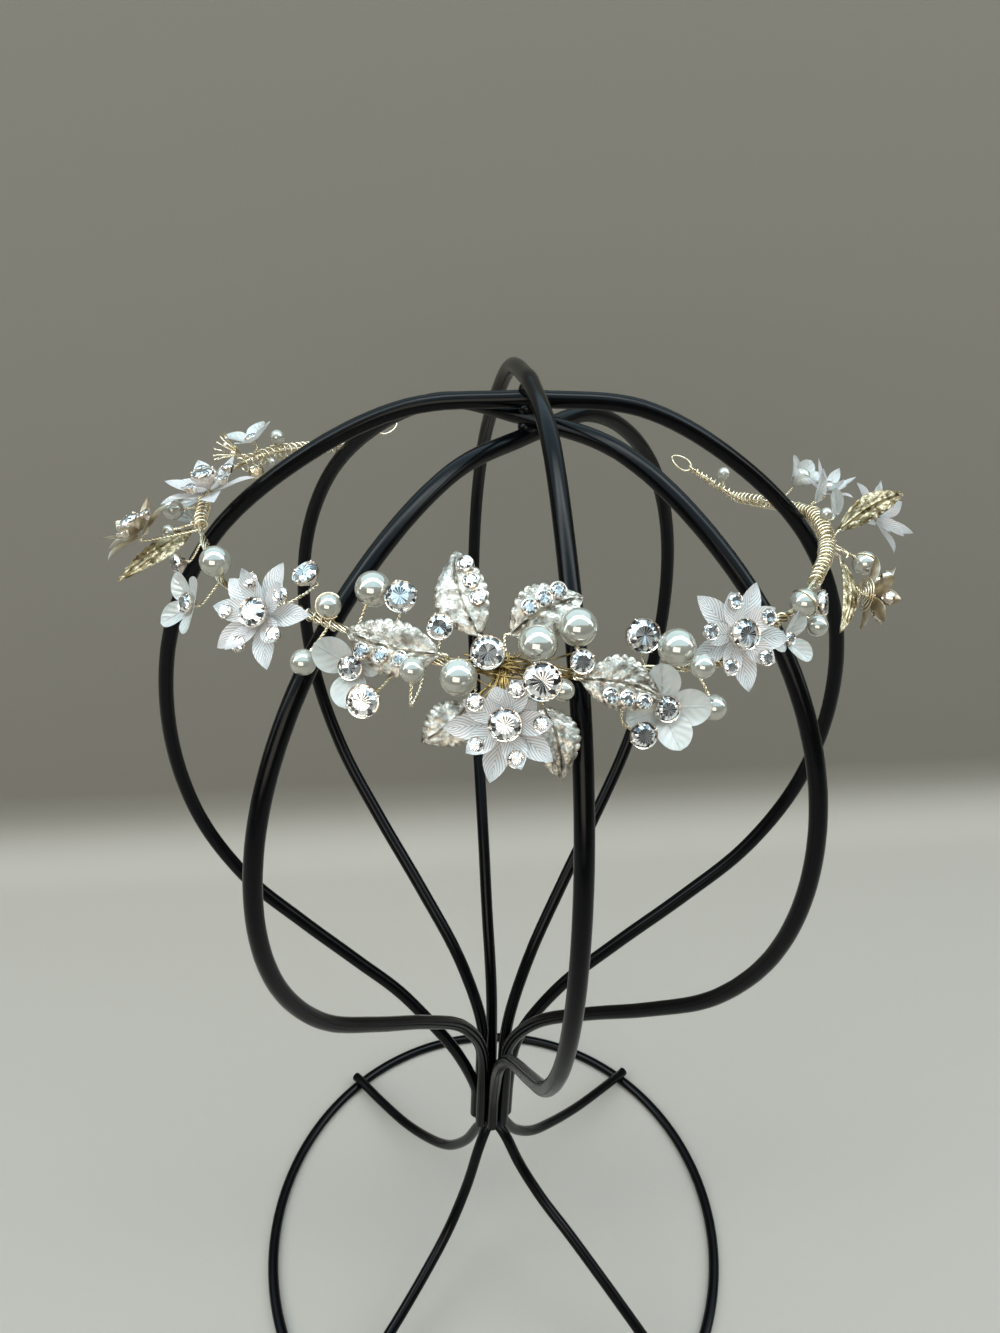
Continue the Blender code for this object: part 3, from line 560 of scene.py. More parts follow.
def wire_tree(mat):
    """Geometry nodes that turn lines into wire: strands twisted round each line, as round rods."""
    tree = bpy.data.node_groups.new("wire along lines", "GeometryNodeTree")
    tree.interface.new_socket("Geometry", in_out="INPUT", socket_type="NodeSocketGeometry")
    tree.interface.new_socket("Geometry", in_out="OUTPUT", socket_type="NodeSocketGeometry")
    sizes = {"Strands": "Int", "Pitch": "Float", "Step": "Float", "Sides": "Int", "Wander": "Float"}
    for name, kind in sizes.items():
        tree.interface.new_socket(name, in_out="INPUT", socket_type="NodeSocket" + kind)
    given = node(tree, "NodeGroupInput").outputs
    lines = node(tree, "GeometryNodeMeshToCurve", {"Mesh": given["Geometry"]})
    fine = node(tree, "GeometryNodeResampleCurve", {"Curve": lines.outputs[0], "Length": given["Step"]},
                mode="LENGTH")
    copies = node(tree, "GeometryNodeDuplicateElements",
                  {"Geometry": fine.outputs[0], "Amount": given["Strands"]}, domain="SPLINE")
    length = node(tree, "GeometryNodeSplineParameter").outputs["Length"]
    coils = node(tree, "ShaderNodeMath", {0: length, 1: given["Pitch"]}, operation="DIVIDE")
    phase = node(tree, "ShaderNodeMath", {0: copies.outputs[1], 1: given["Strands"]}, operation="DIVIDE")
    turns = node(tree, "ShaderNodeMath", {0: coils.outputs[0], 1: phase.outputs[0]}, operation="ADD")
    angle = node(tree, "ShaderNodeMath", {0: turns.outputs[0], 1: 2 * math.pi}, operation="MULTIPLY")
    spin = node(tree, "ShaderNodeVectorRotate", {
        "Vector": node(tree, "GeometryNodeInputNormal").outputs[0],
        "Axis": node(tree, "GeometryNodeInputTangent").outputs[0], "Angle": angle.outputs[0]})
    spread = node(tree, "GeometryNodeInputNamedAttribute", {"Name": "spread"}).outputs[0]
    out = node(tree, "ShaderNodeVectorMath", {0: spin.outputs[0], "Scale": spread}, operation="SCALE")
    # Each strand strays from its place by a noise of its own
    seat = node(tree, "GeometryNodeInputPosition").outputs[0]
    strand = node(tree, "ShaderNodeVectorMath", {0: seat, 1: (7.0, 3.0, 5.0)}, operation="ADD")
    shift = node(tree, "ShaderNodeMath", {0: copies.outputs[1], 1: 11.3}, operation="MULTIPLY")
    noise = node(tree, "ShaderNodeTexNoise",
                 {"Vector": strand.outputs[0], "W": shift.outputs[0], "Scale": 0.45}, noise_dimensions="4D")
    centred = node(tree, "ShaderNodeVectorMath", {0: noise.outputs["Color"], 1: (0.5, 0.5, 0.5)},
                   operation="SUBTRACT")
    stray = node(tree, "ShaderNodeVectorMath", {0: centred.outputs[0], "Scale": given["Wander"]},
                 operation="SCALE")
    offset = node(tree, "ShaderNodeVectorMath", {0: out.outputs[0], 1: stray.outputs[0]}, operation="ADD")
    moved = node(tree, "GeometryNodeSetPosition",
                 {"Geometry": copies.outputs[0], "Offset": offset.outputs[0]})
    gauge = node(tree, "GeometryNodeInputNamedAttribute", {"Name": "gauge"}).outputs[0]
    ring = node(tree, "GeometryNodeCurvePrimitiveCircle", {"Resolution": given["Sides"], "Radius": 1.0})
    rods = node(tree, "GeometryNodeCurveToMesh", {
        "Curve": moved.outputs[0], "Profile Curve": ring.outputs[0], "Scale": gauge, "Fill Caps": True})
    smooth = node(tree, "GeometryNodeSetShadeSmooth", {"Geometry": rods.outputs[0]})
    whole = node(tree, "GeometryNodeRealizeInstances", {0: smooth.outputs[0]})
    painted = node(tree, "GeometryNodeSetMaterial", {"Geometry": whole.outputs[0], "Material": mat})
    node(tree, "NodeGroupOutput", {0: painted.outputs[0]})
    return tree


def plain_mesh(name, base, tree, **sizes):
    """Run a tree on a mesh object, keep the result as a plain mesh in metres and drop the rest."""
    modifier = base.modifiers.new("nodes", "NODES")
    modifier.node_group = tree
    for item in tree.interface.items_tree:
        if item.in_out == "INPUT" and item.name in sizes:
            modifier[item.identifier] = sizes[item.name]
    bpy.context.view_layer.update()
    graph = bpy.context.evaluated_depsgraph_get()
    mesh = bpy.data.meshes.new_from_object(base.evaluated_get(graph))
    mesh.transform(Matrix.Scale(MM, 4) @ Matrix.Translation(ORIGIN))
    mesh.name = name
    bpy.data.objects.remove(base)
    obj = bpy.data.objects.new(name, mesh)
    bpy.context.scene.collection.objects.link(obj)
    return obj


def wires(name, lines, mat, strands=1, pitch=1.0, step=0.3, sides=8, wander=0.0):
    """Wires along lines; a line is (points, gauge radius, spread), each one value or one per point."""
    mesh = bpy.data.meshes.new(name)
    points, edges, gauges, spreads = [], [], [], []
    for path, gauge, spread in lines:
        first = len(points)
        points += [tuple(p) for p in path]
        edges += [(first + i, first + i + 1) for i in range(len(path) - 1)]
        gauges += gauge if isinstance(gauge, list) else [gauge] * len(path)
        spreads += spread if isinstance(spread, list) else [spread] * len(path)
    mesh.from_pydata(points, edges, [])
    for key, values in (("gauge", gauges), ("spread", spreads)):
        mesh.attributes.new(key, "FLOAT", "POINT").data.foreach_set("value", values)
    base = bpy.data.objects.new(name, mesh)
    bpy.context.scene.collection.objects.link(base)
    return plain_mesh(name, base, wire_tree(mat), Strands=strands, Pitch=pitch, Step=step, Sides=sides,
                      Wander=wander)


def build_stand(black):
    """Four hoops, the legs and the ring as smooth round wire, with weld beads where they meet."""
    for level, (name, first, second) in enumerate(HOOPS):
        path = rib_points(first, level, 6) + rib_points(second, level, 6)[-2::-1]
        wear(wires(name + "_wire", [(path, ROD / 2, 0.0)], black, step=3.0, sides=20), "stand_wire", name)
    lines = []
    leg_radius, post_radius = 0.97 * ROD / 2, NECK_RADIUS - ROD / 2 - 0.35
    centre = Vector((RING_RIGHT, 0, ROD / 2 * math.cos(math.pi / 6)))
    for turn, bow in LEGS.values():
        end = centre + RING_RADIUS * direction(turn, 0) + Vector((0, 0, 0.75 * ROD))
        rows = [Vector((end.x * out, end.y * out, LEG_TOP * rise + bow * math.sin(math.pi * out ** 0.8)))
                for out, rise in LEG_SHAPE]
        past_end = end + 3.0 * direction(turn, -10)
        lines.append((smooth_path(rows + [end, past_end], 8), leg_radius, 0.0))
    ring = [centre + RING_RADIUS * direction(2 * k, 0) for k in range(181)]
    lines.append((ring, ROD / 2, 0.0))
    lines.append(([axis_at(LEG_TOP - 1), axis_at(NECK_HEIGHT + POST_GRIP)], post_radius, 0.0))
    wear(wires("foot_wire", lines, black, step=2.0, sides=20), "stand_wire", "foot")
    build = bmesh.new()
    # Weld beads between the hoops at the crown, round the neck and on the ring: place and radius
    welds = [(Vector((LEAN_RIGHT, LEAN_BACK, CROWN_HEIGHT + HOOP_PITCH * (level + 0.5))), 2.2)
             for level in range(len(HOOPS) - 1)]
    for k in range(2 * len(HOOPS)):
        turn = HALF_RIB + 2 * HALF_RIB * k
        welds.append((axis_at(NECK_HEIGHT + 1) + (NECK_RADIUS - 0.4) * direction(turn, 0), 1.5))
    for turn, _ in LEGS.values():
        welds.append((centre + RING_RADIUS * direction(turn, 0) + Vector((0, 0, 1.6)), 2.1))
    for point, size in welds:
        bmesh.ops.create_icosphere(build, subdivisions=2, radius=size,
                                   matrix=Matrix.Translation(point) @ Matrix.Diagonal((1, 1, 0.8, 1)))
    wear(make_piece("weld_beads", build, black), "stand_wire")


def stem_path(name, turn, foot, away):
    """Stem from the band round to a piece's foot, which it meets along a direction."""
    straight, shortest, bow = 1.4, 1.5, 1.2
    away = away.normalized()
    elbow = foot - away * straight
    path = [band_at(turn)] + [on_head(*bend) for bend in BENDS.get(name, ())]
    run = path[-1] - elbow
    ahead = run.dot(away)
    if run.length < shortest or ahead < -0.85 * run.length:
        return path + [foot]
    if ahead > 0.3 * run.length:
        across = run - away * ahead
        path.append(elbow + across.normalized() * bow)
    return path + [elbow, foot]


def add_pearl(build, diameter, place):
    """Add a smooth round pearl."""
    bmesh.ops.create_uvsphere(build, u_segments=40, v_segments=24, radius=diameter / 2, matrix=place)


def build_pearls(stems, pearl, gold):
    """Round pearls on their wires, with a tight little wire collar where the wire leaves the bore."""
    build, collars = bmesh.new(), []
    for name, (turn, drop, clear, diameter) in {**PEARLS, **SMALL_PEARLS}.items():
        centre = on_head(turn, drop, clear)
        aim = on_head(*BENDS[name][-1]) if name in BENDS else band_at(turn)
        back = (aim - centre).normalized()
        stems.append(stem_path(name, turn, centre + back * diameter * 0.45, -back))
        ends = [centre + back * (diameter / 2 + past) for past in (-0.25, 0.5)]
        collars.append((ends, FINE, 0.34))
        place = facing_matrix(centre, -back)
        if name == "bead_gold":
            bead = bmesh.new()
            bmesh.ops.create_uvsphere(bead, u_segments=8, v_segments=5, radius=diameter / 2, matrix=place)
            wear(make_piece("bead_gold_cut", bead, gold, smooth=False), "gold_wire", "bead_gold")
        else:
            add_pearl(build, diameter, place)
    wear(make_piece("pearls", build, pearl), "pearl", *[n for n in PEARLS if n != "bead_gold"])
    wear(wires("pearl_collars", collars, gold, pitch=0.36, step=0.06, sides=6), "gold_wire")


def facet_rows(diameter, rng):
    """Facets of a brilliant with their tones, which are painted reflections: thin wedges and bright spokes
    inside, kites round them.
    """
    r = diameter / 2
    shares = {"middle": (0.0, 0.15), "table": (0.56, 0.16), "star": (0.77, 0.1), "girdle": (1.0, 0.0)}
    near, far = 0.1, 0.9

    def at(step, level):
        reach, height = shares[level]
        return polar(reach * r, 2 * math.pi * step / WEDGES, height * diameter)

    made = []
    for k in range(WEDGES):
        # Wedges on the stone's upper side turn dark more often and its kites bright less often: painted
        # shade above, painted highlight below
        up = 0.5 + 0.5 * at(k + 0.5, "girdle").y / r
        if rng.random() < 0.25 + 0.4 * up:
            inner = 0.04 + 0.25 * rng.random()
        else:
            inner = 0.45 + 0.35 * rng.random()
        made.append(([at(0, "middle"), at(k + near, "table"), at(k + far, "table")], inner))
        made.append(([at(0, "middle"), at(k - near, "table"), at(k + near, "table")], 0.95))
        star = 0.5 + 0.5 * rng.random()
        made.append(([at(k + near, "table"), at(k + 0.5, "star"), at(k + far, "table")], star))
        kite = 0.2 + 0.75 * (rng.random() < 0.75 - 0.35 * up)
        made.append(([at(k - near, "table"), at(k - 0.5, "star"), at(k, "girdle"), at(k + 0.5, "star"),
                      at(k + near, "table")], kite))
        rim = 0.9 if rng.random() < 0.6 else 0.05 + 0.2 * rng.random()
        made.append(([at(k + 0.5, "star"), at(k, "girdle"), at(k + 1, "girdle")], rim))
    return made


def add_stone(build, place, diameter, seed, shade=1.0):
    """Add one brilliant with a painted reflection tone on each facet, darker tones scaled by a painted shade
    factor, closed underneath by its pavilion.
    """
    rng = random.Random(seed)
    tone = build.faces.layers.float.get("tone")
    spots = {}

    def vert(point):
        key = tuple(round(c, 4) for c in point)
        if key not in spots:
            spots[key] = build.verts.new(place @ point)
        return spots[key]

    for corners, value in facet_rows(diameter, rng):
        face = build.faces.new([vert(c) for c in corners])
        # Facets below BRIGHT take the stone's painted shade; brighter facets stay as painted glints
        face[tone] = shade * value if value < BRIGHT else value
    ring = [polar(diameter / 2, 2 * math.pi * k / WEDGES) for k in range(WEDGES)]
    culet = Vector((0, 0, -0.4 * diameter))
    for k in range(WEDGES):
        face = build.faces.new([vert(culet), vert(ring[(k + 1) % WEDGES]), vert(ring[k])])
        face[tone] = 0.3 + 0.5 * rng.random()


def add_lathe(build, place, profile, sides):
    """Add a closed shape of (radius, height) rows turned round the place's +Z."""
    rings = [[build.verts.new(place @ polar(radius, 2 * math.pi * k / sides, height)) for k in range(sides)]
             for radius, height in profile]
    for low, high in zip(rings, rings[1:] + rings[:1]):
        for k in range(sides):
            j = (k + 1) % sides
            build.faces.new((low[k], low[j], high[j], high[k]))


def add_cup(build, place, diameter, depth, foot, wall=0.22, sides=24):
    """Add a thin open cup under a stone: a turned wall with a rolled rim."""
    r = diameter / 2
    outer = [(foot * r, -depth), (r + wall * 0.4, -0.12 * diameter), (r + wall, 0.02 * diameter),
             (r + wall * 0.5, 0.07 * diameter)]
    inner = [(0.96 * r, 0.04 * diameter), (r - wall * 0.4, -0.1 * diameter),
             (max(0.1, foot * r - wall), -depth + wall)]
    add_lathe(build, place, outer + inner, sides)


def add_claws(build, place, diameter, count, size, start=0.0):
    """Add small claws: a long shank outside the stone's edge and a round tip bent over it."""
    r = diameter / 2
    for k in range(count):
        turn = Matrix.Rotation(2 * math.pi * k / count + start, 4, "Z")
        for x, z, long in ((r + 0.12, -0.02 * diameter, 1.6), (r - 0.12, 0.1 * diameter, 1.0)):
            spot = place @ turn @ Matrix.Translation((x, 0, z)) @ Matrix.Diagonal((1, 1, long, 1))
            bmesh.ops.create_icosphere(build, subdivisions=2, radius=size, matrix=spot)


def set_stone(crystals, cups, place, width, seed, cup, claws, shade=1.0):
    """Set a brilliant in its cup (depth, foot, wall, sides) under claws (count, size, first turn)."""
    add_stone(crystals, place, width, seed, shade)
    add_cup(cups, place, width, *cup)
    add_claws(cups, place, width, *claws)


def build_stones(stems, crystals, cups):
    """Cut stones in thin cups on their wires."""
    for seed, (name, (turn, drop, clear, diameter, look, tilt)) in enumerate(STONES.items()):
        centre, face = on_head(turn, drop, clear), direction(look, tilt)
        set_stone(crystals, cups, facing_matrix(centre, face), 0.96 * diameter, seed,
                  (CUP_DEPTH * diameter, 0.4), (4, 0.24, 0.4), SHADED_STONES.get(name, 1.0))
        stems.append(stem_path(name, turn, centre - face * CUP_DEPTH * diameter, face))


def leaf_grid(length, width):
    """Bmesh of a cast leaf along +X: serrated edge, two parallel midrib lines and a lumpy hammered skin."""
    build = bmesh.new()
    spans, half_spans = 60, 12
    teeth, veins = 10, 5.5
    rows = []
    for i in range(spans + 1):
        u = i / spans
        round_out = math.sin(math.pi * u ** 0.88)
        saw = (teeth * u) % 1.0
        half = width / 2 * max(0.06, round_out ** 0.85) * (0.93 + 0.09 * math.sin(math.pi * saw) ** 0.6)
        sweep = 0.05 * length * math.sin(math.pi * u) - 0.06 * length * u * u
        bend = 0.07 * length * (2 * u - 1) ** 2
        row = []
        for j in range(-half_spans, half_spans + 1):
            v = j / half_spans
            aside = abs(v)
            arch = 0.34 * width * (0.55 - (aside - 0.5) ** 2) * round_out ** 0.6 * 0.55
            midrib = 0.3 * bell(aside, 0.1, 0.06) - 0.12 * bell(v, 0, 0.04) if u < 0.9 else 0.0
            vein = math.sin(2 * math.pi * (veins * u - 1.3 * aside))
            vein = 0.06 * vein * min(1, 3 * aside) * (1 - aside) * 2
            lumps = 0.07 * math.sin(9.1 * u * length / 3 + 3 * v) * math.sin(7 * v * width / 2 + 5 * u)
            edge = 0.2 * math.sin(math.pi * saw) * bell(aside, 0.97, 0.09) - 0.28 * bell(aside, 1.0, 0.05)
            lift = arch - bend + midrib + vein + lumps + edge
            row.append(build.verts.new((length * u, half * v + sweep, lift)))
        rows.append(row)
    for low, high in zip(rows, rows[1:]):
        for j in range(2 * half_spans):
            build.faces.new((low[j], high[j], high[j + 1], low[j + 1]))
    bmesh.ops.solidify(build, geom=build.faces[:], thickness=0.8)
    return build


def build_leaves(stems, pale, deep, crystals, cups):
    """Cast leaves with their rows of bezel stones."""
    for seed, (name, (foot, tip, width, stones)) in enumerate({**LEAVES, **EDGE_LEAVES}.items()):
        start, end = on_head(*foot), on_head(*tip)
        along = end - start
        face = direction((foot[0] + tip[0]) / 2, 35)
        if name in EDGE_LEAVES:
            face = along.normalized().cross(direction(35, 22)) + 0.7 * direction(35, 22)
        if name == "leaf_8":
            face = direction(20, 25)
        place = facing_matrix(start, face - along.normalized() * face.dot(along.normalized()), along=along)
        build = leaf_grid(along.length, width)
        build.transform(place)
        metal = deep if name in ("leaf_7", "leaf_8", *EDGE_LEAVES) else pale
        piece = make_piece(name + "_casting", build, metal, sharp=60)
        wear(piece, "pale_casting", *[name] if name in LEAVES else [])
        side = 1 if name in ("leaf_2", "leaf_3") else -1
        bezel = [(0.16 * width, -0.7), (0.155 * width, 0.12), (0.135 * width, 0.25), (0.12 * width, 0.1),
                 (0.12 * width, -0.7)]
        first_stone, stone_pitch, stone_height = 0.34, 0.2, 1.35
        for k in range(stones):
            spot = (along.length * (first_stone + stone_pitch * k), side * 0.22 * width, stone_height)
            seat = place @ Matrix.Translation(spot)
            add_stone(crystals, seat, 0.25 * width, 100 + 5 * seed + k)
            add_lathe(cups, seat, bezel, 20)
        stems.append(stem_path(name, foot[0], start, along))


def petal_grid(length, width, rise, curl, blunt=0.85, thick=0.28, droop=0.0):
    """Bmesh of a thin petal along +X, narrow at its foot, with its own UV map."""
    build = bmesh.new()
    uv = build.loops.layers.uv.new("petal")
    spans, half_spans = 18, 6
    tip = 0.03
    rows = []
    for i in range(spans + 1):
        u = i / spans
        full = 0.24 * (1 - u) ** 2 + math.sin(math.pi * u ** 1.12) ** blunt if u < 1 else 0.0
        half = max(tip, width / 2 * full)
        row = []
        for j in range(-half_spans, half_spans + 1):
            v = j / half_spans
            lift = rise * u ** 1.5 - droop * max(0.0, u - 0.5) ** 2 + curl * v * v * math.sin(math.pi * u)
            lift -= 0.16 * bell(v, 0, 0.12) * (1 - u)
            row.append((build.verts.new((length * u, half * v, lift)), (u, v / 2 + 0.5)))
        rows.append(row)
    for low, high in zip(rows, rows[1:]):
        for j in range(2 * half_spans):
            corners = (low[j], high[j], high[j + 1], low[j + 1])
            face = build.faces.new([c[0] for c in corners])
            for loop, (_, place) in zip(face.loops, corners):
                loop[uv].uv = place
    bmesh.ops.solidify(build, geom=build.faces[:], thickness=thick)
    return build


def join_into(target, piece, matrix):
    """Copy a bmesh into another through a matrix and free it."""
    piece.transform(matrix)
    mesh = bpy.data.meshes.new("part")
    piece.to_mesh(mesh)
    piece.free()
    target.from_mesh(mesh)
    bpy.data.meshes.remove(mesh)


def build_flowers(stems, blush, gilt, crystals, cups):
    """Metal flowers: two rounds of pointed petals, a claw-set centre stone and small cup stones."""
    for seed, (name, row) in enumerate(FLOWERS.items()):
        turn, drop, clear, diameter, look, tilt, roll, small = row
        centre, face = on_head(turn, drop, clear), direction(look, tilt)
        place = facing_matrix(centre, face, roll)
        build = bmesh.new()
        reach = PETAL_REACH.get(name, 1.0) * diameter / 2
        bowl, lift = BOWL.get(name, 1.0), STONE_LIFT.get(name, 0.5)
        rng = random.Random(50 + seed)
        for k in range(5):
            for half_turn, long, wide, rise, height in PETAL_ROUNDS:
                a = 2 * math.pi * (k + half_turn) / 5 + math.radians(rng.uniform(-5, 5))
                lie = Matrix.Rotation(a, 4, "Z") @ Matrix.Translation((0.09 * reach, 0, height))
                lie = lie @ Matrix.Rotation(math.radians(rng.uniform(-9, 9)), 4, "X")
                long *= 0.62 if name == "flower_1" and half_turn and k < 2 else 1.0
                droop = (9.0 if bowl > 1.1 else 5.0) * half_turn
                petal = petal_grid((long - 0.09) * reach, wide * reach, rise * bowl * rng.uniform(0.8, 1.2),
                                   0.55, droop=droop)
                join_into(build, petal, place @ lie)
        metal = gilt if name in GILT else blush
        wear(make_piece(name + "_petals", build, metal, sharp=60), "blush_petals", name)
        if name == "flower_7":
            continue
        middle = min(CENTRE_STONE, 0.36 * diameter)
        lifted = place @ Matrix.Translation((0, 0, lift * middle))
        set_stone(crystals, cups, lifted, 0.9 * middle, 200 + seed, (0.55 * middle, 0.5), (8, 0.24, 0.2))
        for k in range(small):
            spot = polar(0.31 * diameter, 2 * math.pi * k / 5, 2.4 * lift + 1.4 * bowl)
            set_stone(crystals, cups, place @ Matrix.Translation(spot), 0.9 * PETAL_STONE,
                      300 + 7 * seed + k, (1.5, 0.6, 0.16, 20), (4, 0.16, 0.5))
        stems.append(stem_path(name, turn, centre - face * 0.6, face))


def build_frosted(stems, milk, pearl, crystals, cups):
    """Small flowers of milky moulded petals round a cup stone, one of them closed round a pearl."""
    for seed, (name, row) in enumerate(FROSTED.items()):
        turn, drop, clear, petals, length, width, stone, look, tilt, roll = row
        centre, face = on_head(turn, drop, clear), direction(look, tilt)
        place = facing_matrix(centre, face, roll)
        build = bmesh.new()
        rng = random.Random(80 + seed)
        closed = name == "frosted_5"
        for k in range(petals):
            lie = Matrix.Rotation(2 * math.pi * k / petals + rng.uniform(-0.15, 0.15), 4, "Z")
            lie = lie @ Matrix.Translation((0.2 * stone, 0, -0.35 * stone))
            lie = lie @ Matrix.Rotation(math.radians(-62 if closed else rng.uniform(-28, -6)), 4, "Y")
            rise = -1.2 if closed else 0.9
            petal = petal_grid(1.25 * length, 1.18 * width, rise, 0.9, blunt=0.5, thick=0.55)
            join_into(build, petal, place @ lie)
        wear(make_piece(name + "_petals", build, milk, sharp=60), "frosted_petals", name)
        if closed:
            bud = bmesh.new()
            add_pearl(bud, 4.4, place @ Matrix.Translation((0, 0, 0.9)))
            wear(make_piece("pearl_in_petals", bud, pearl), "pearl")
        else:
            set_stone(crystals, cups, place, 0.94 * stone, 400 + seed, (0.55 * stone, 0.4), (4, 0.2, 0.3))
        stems.append(stem_path(name, turn, centre - face * 0.55 * stone, face))


def build_band(gold, brown):
    """Seven loosely laid gold wires round a core, closer at the sides where the wraps hold them; the core's
    dark colour is painted shade between the strands.
    """
    path = smooth_path([on_head(*row[:3]) for row in BAND_ROUTE], BAND_STEPS)
    thick = [a[3] + (b[3] - a[3]) * i / BAND_STEPS for a, b in zip(BAND_ROUTE, BAND_ROUTE[1:])
             for i in range(BAND_STEPS)]
    thick.append(BAND_ROUTE[-1][3])
    closer_from = 0.64 * len(thick)
    spread = []
    for i, width in enumerate(thick):
        loose = max(0.2, width / 2 - FINE) * (1.0 if i < closer_from else 0.62)
        spread.append(loose if LOOSE_FROM <= i <= LOOSE_TO else 0.4)
    wear(wires("band_wires", [(path, FINE, spread)], gold, strands=7, pitch=14.0, step=0.6, sides=6,
               wander=0.7), "gold_wire", "band")
    # The core is dark aged gold so that the gaps between the strands read dark: painted shade
    wear(wires("band_core_painted_shade", [(path, FINE, 0.3)], brown, strands=3, pitch=4.0, step=0.6, sides=6,
               wander=0.5), "gold_wire")


def build_stems(stems, gold):
    """Stems as twisted pairs of fine wire."""
    lines = [(smooth_path(stem, 6), FINE, FINE) for stem in stems]
    wear(wires("stem_wires", lines, gold, strands=2, pitch=STEM_PITCH, step=0.22, sides=6, wander=0.3),
         "gold_wire")


def build_wraps(gold):
    """Close wire wraps wound round stretches of the band."""
    for name, first, last, pitch, wide, narrow in WRAPS:
        count = max(2, int(abs(last - first) / 3.0))
        line = smooth_path([band_at(first + (last - first) * k / count) for k in range(count + 1)], 6)
        radii = [wide + (narrow - wide) * k / (len(line) - 1) for k in range(len(line))]
        wear(wires(name, [(line, WRAP_WIRE, radii)], gold, pitch=pitch, step=0.12, sides=6, wander=0.6),
             "gold_wire")


def build_end_eyes(gold):
    """Long wire eyes at both ends of the band."""
    rows = [on_head(*row[:3]) for row in BAND_ROUTE]
    eyes = []
    for end, inner in ((0, 1), (-1, -2)):
        along = (rows[end] - rows[inner]).normalized()
        side = along.cross(direction(5, 32)).normalized()
        start = rows[end] - along * 0.6
        angles = [math.pi * (2 * k / 32 - 1) for k in range(33)]
        loop = [start + along * 3.1 * (1 + math.cos(a))
                + side * 1.3 * math.sin(a) * (1.25 - 0.25 * math.cos(a)) for a in angles]
        eyes.append((loop, EYE_WIRE, 0.0))
    wear(wires("end_eyes", eyes, gold, step=0.3, sides=8), "gold_wire")


def build_knot(brown):
    """Brown-gold knot in the middle: an hourglass of tied wires, and loose wires along the band."""
    rng = random.Random(4)
    tangle = []
    for k in range(34):
        s = rng.uniform(-1, 1)
        top = on_head(KNOT_TURN + 1.6 * s + rng.uniform(-0.6, 0.6), 17.6 + rng.uniform(-0.8, 0.8),
                      rng.uniform(5.5, 8.0))
        waist = on_head(KNOT_TURN + 1.2 * s, 19.6, rng.uniform(8.0, 9.5))
        low = on_head(KNOT_TURN + 4.2 * s, 22.6 + rng.uniform(-0.7, 0.5), rng.uniform(8.5, 11.5))
        tangle.append((smooth_path([top, waist, low], 6), FINE, 0.0))
    for k in range(16):
        left, right = rng.uniform(-18, -10), rng.uniform(-8, 4)
        start = on_head(left, 17.5 + rng.uniform(-1, 2), rng.uniform(5, 8))
        over = on_head((left + right) / 2, 18.0 + rng.uniform(-1.5, 2), rng.uniform(7.5, 9.5))
        end = on_head(right, 18.5 + rng.uniform(-1.5, 2), rng.uniform(5, 8))
        tangle.append((smooth_path([start, over, end], 6), FINE, 0.0))
    wear(wires("centre_knot", tangle, brown, step=0.4, sides=6, wander=0.6), "gold_wire")


def build_loops(gold):
    """Open wire loops round three pearls, and a flat wire coil behind a flower."""
    loops = []
    for name, size, tip in (("pearl_mid_9", 1.06, 70), ("pearl_mid_7", 1.06, 80), ("pearl_mid_2", 1.05, 40)):
        turn, drop, clear, diameter = PEARLS[name]
        place = facing_matrix(on_head(turn, drop, clear), direction(turn + tip, 20))
        angles = [math.pi * (0.2 + 1.5 * k / 24) for k in range(25)]
        loops.append(([place @ polar(size * diameter / 2, a) for a in angles], FINE, 0.0))
    turn, drop, clear, _, look, tilt = FLOWERS["flower_6"][:6]
    place = facing_matrix(on_head(turn, drop, clear), direction(look, tilt))
    steps, rounds = 120, 5
    coil = []
    for k in range(steps + 1):
        r = 0.6 + 3.6 * k / steps
        coil.append(place @ polar(r, 2 * math.pi * rounds * k / steps, -1.0 - 0.28 * (4.2 - r)))
    loops.append((coil, FINE, 0.0))
    wear(wires("pearl_loops", loops, gold, step=0.25, sides=6), "gold_wire")


def build_prong_flower(stems, gold):
    """Small cup flower on the left whose thin gold prongs fan out, left without a stone."""
    turn, drop, clear = -108, 11.0, 17.0
    centre, face = on_head(turn, drop, clear), direction(-70, 30)
    place = facing_matrix(centre, face)
    build = bmesh.new()
    add_lathe(build, place, [(0.5, -1.6), (1.7, 0.1), (1.95, 0.5), (1.6, 0.4), (0.4, -1.1)], 20)
    wear(make_piece("prong_flower_cup", build, gold), "gold_wire")
    count = 12
    prongs = []
    for k in range(count):
        out = polar(1.0, 2 * math.pi * k / count)
        line = [place @ (out * r + Vector((0, 0, z)))
                for r, z in ((0.7, -0.9), (1.6, 1.0), (2.5, 2.8), (3.6, 4.0))]
        path = smooth_path(line, 5)
        prongs.append((path, [FINE] * (len(path) - 1) + [0.32], 0.0))
    wear(wires("prong_flower_prongs", prongs, gold, step=0.25, sides=8), "gold_wire")
    stems.append(stem_path("prong_flower", turn, centre - face * 1.4, face))


def build_loose_petals(stems, milk):
    """Single moulded petals that stand on the band's back by themselves."""
    build = bmesh.new()
    for turn, drop, clear, length, width, look, tilt, roll in LOOSE_PETALS:
        centre, face = on_head(turn, drop, clear), direction(look, tilt)
        join_into(build, petal_grid(length, width, 0.8, 0.8, blunt=0.5, thick=0.5),
                  facing_matrix(centre, face, roll))
        stems.append(stem_path("", turn, centre, face))
    wear(make_piece("loose_petals", build, milk, sharp=60), "frosted_petals")


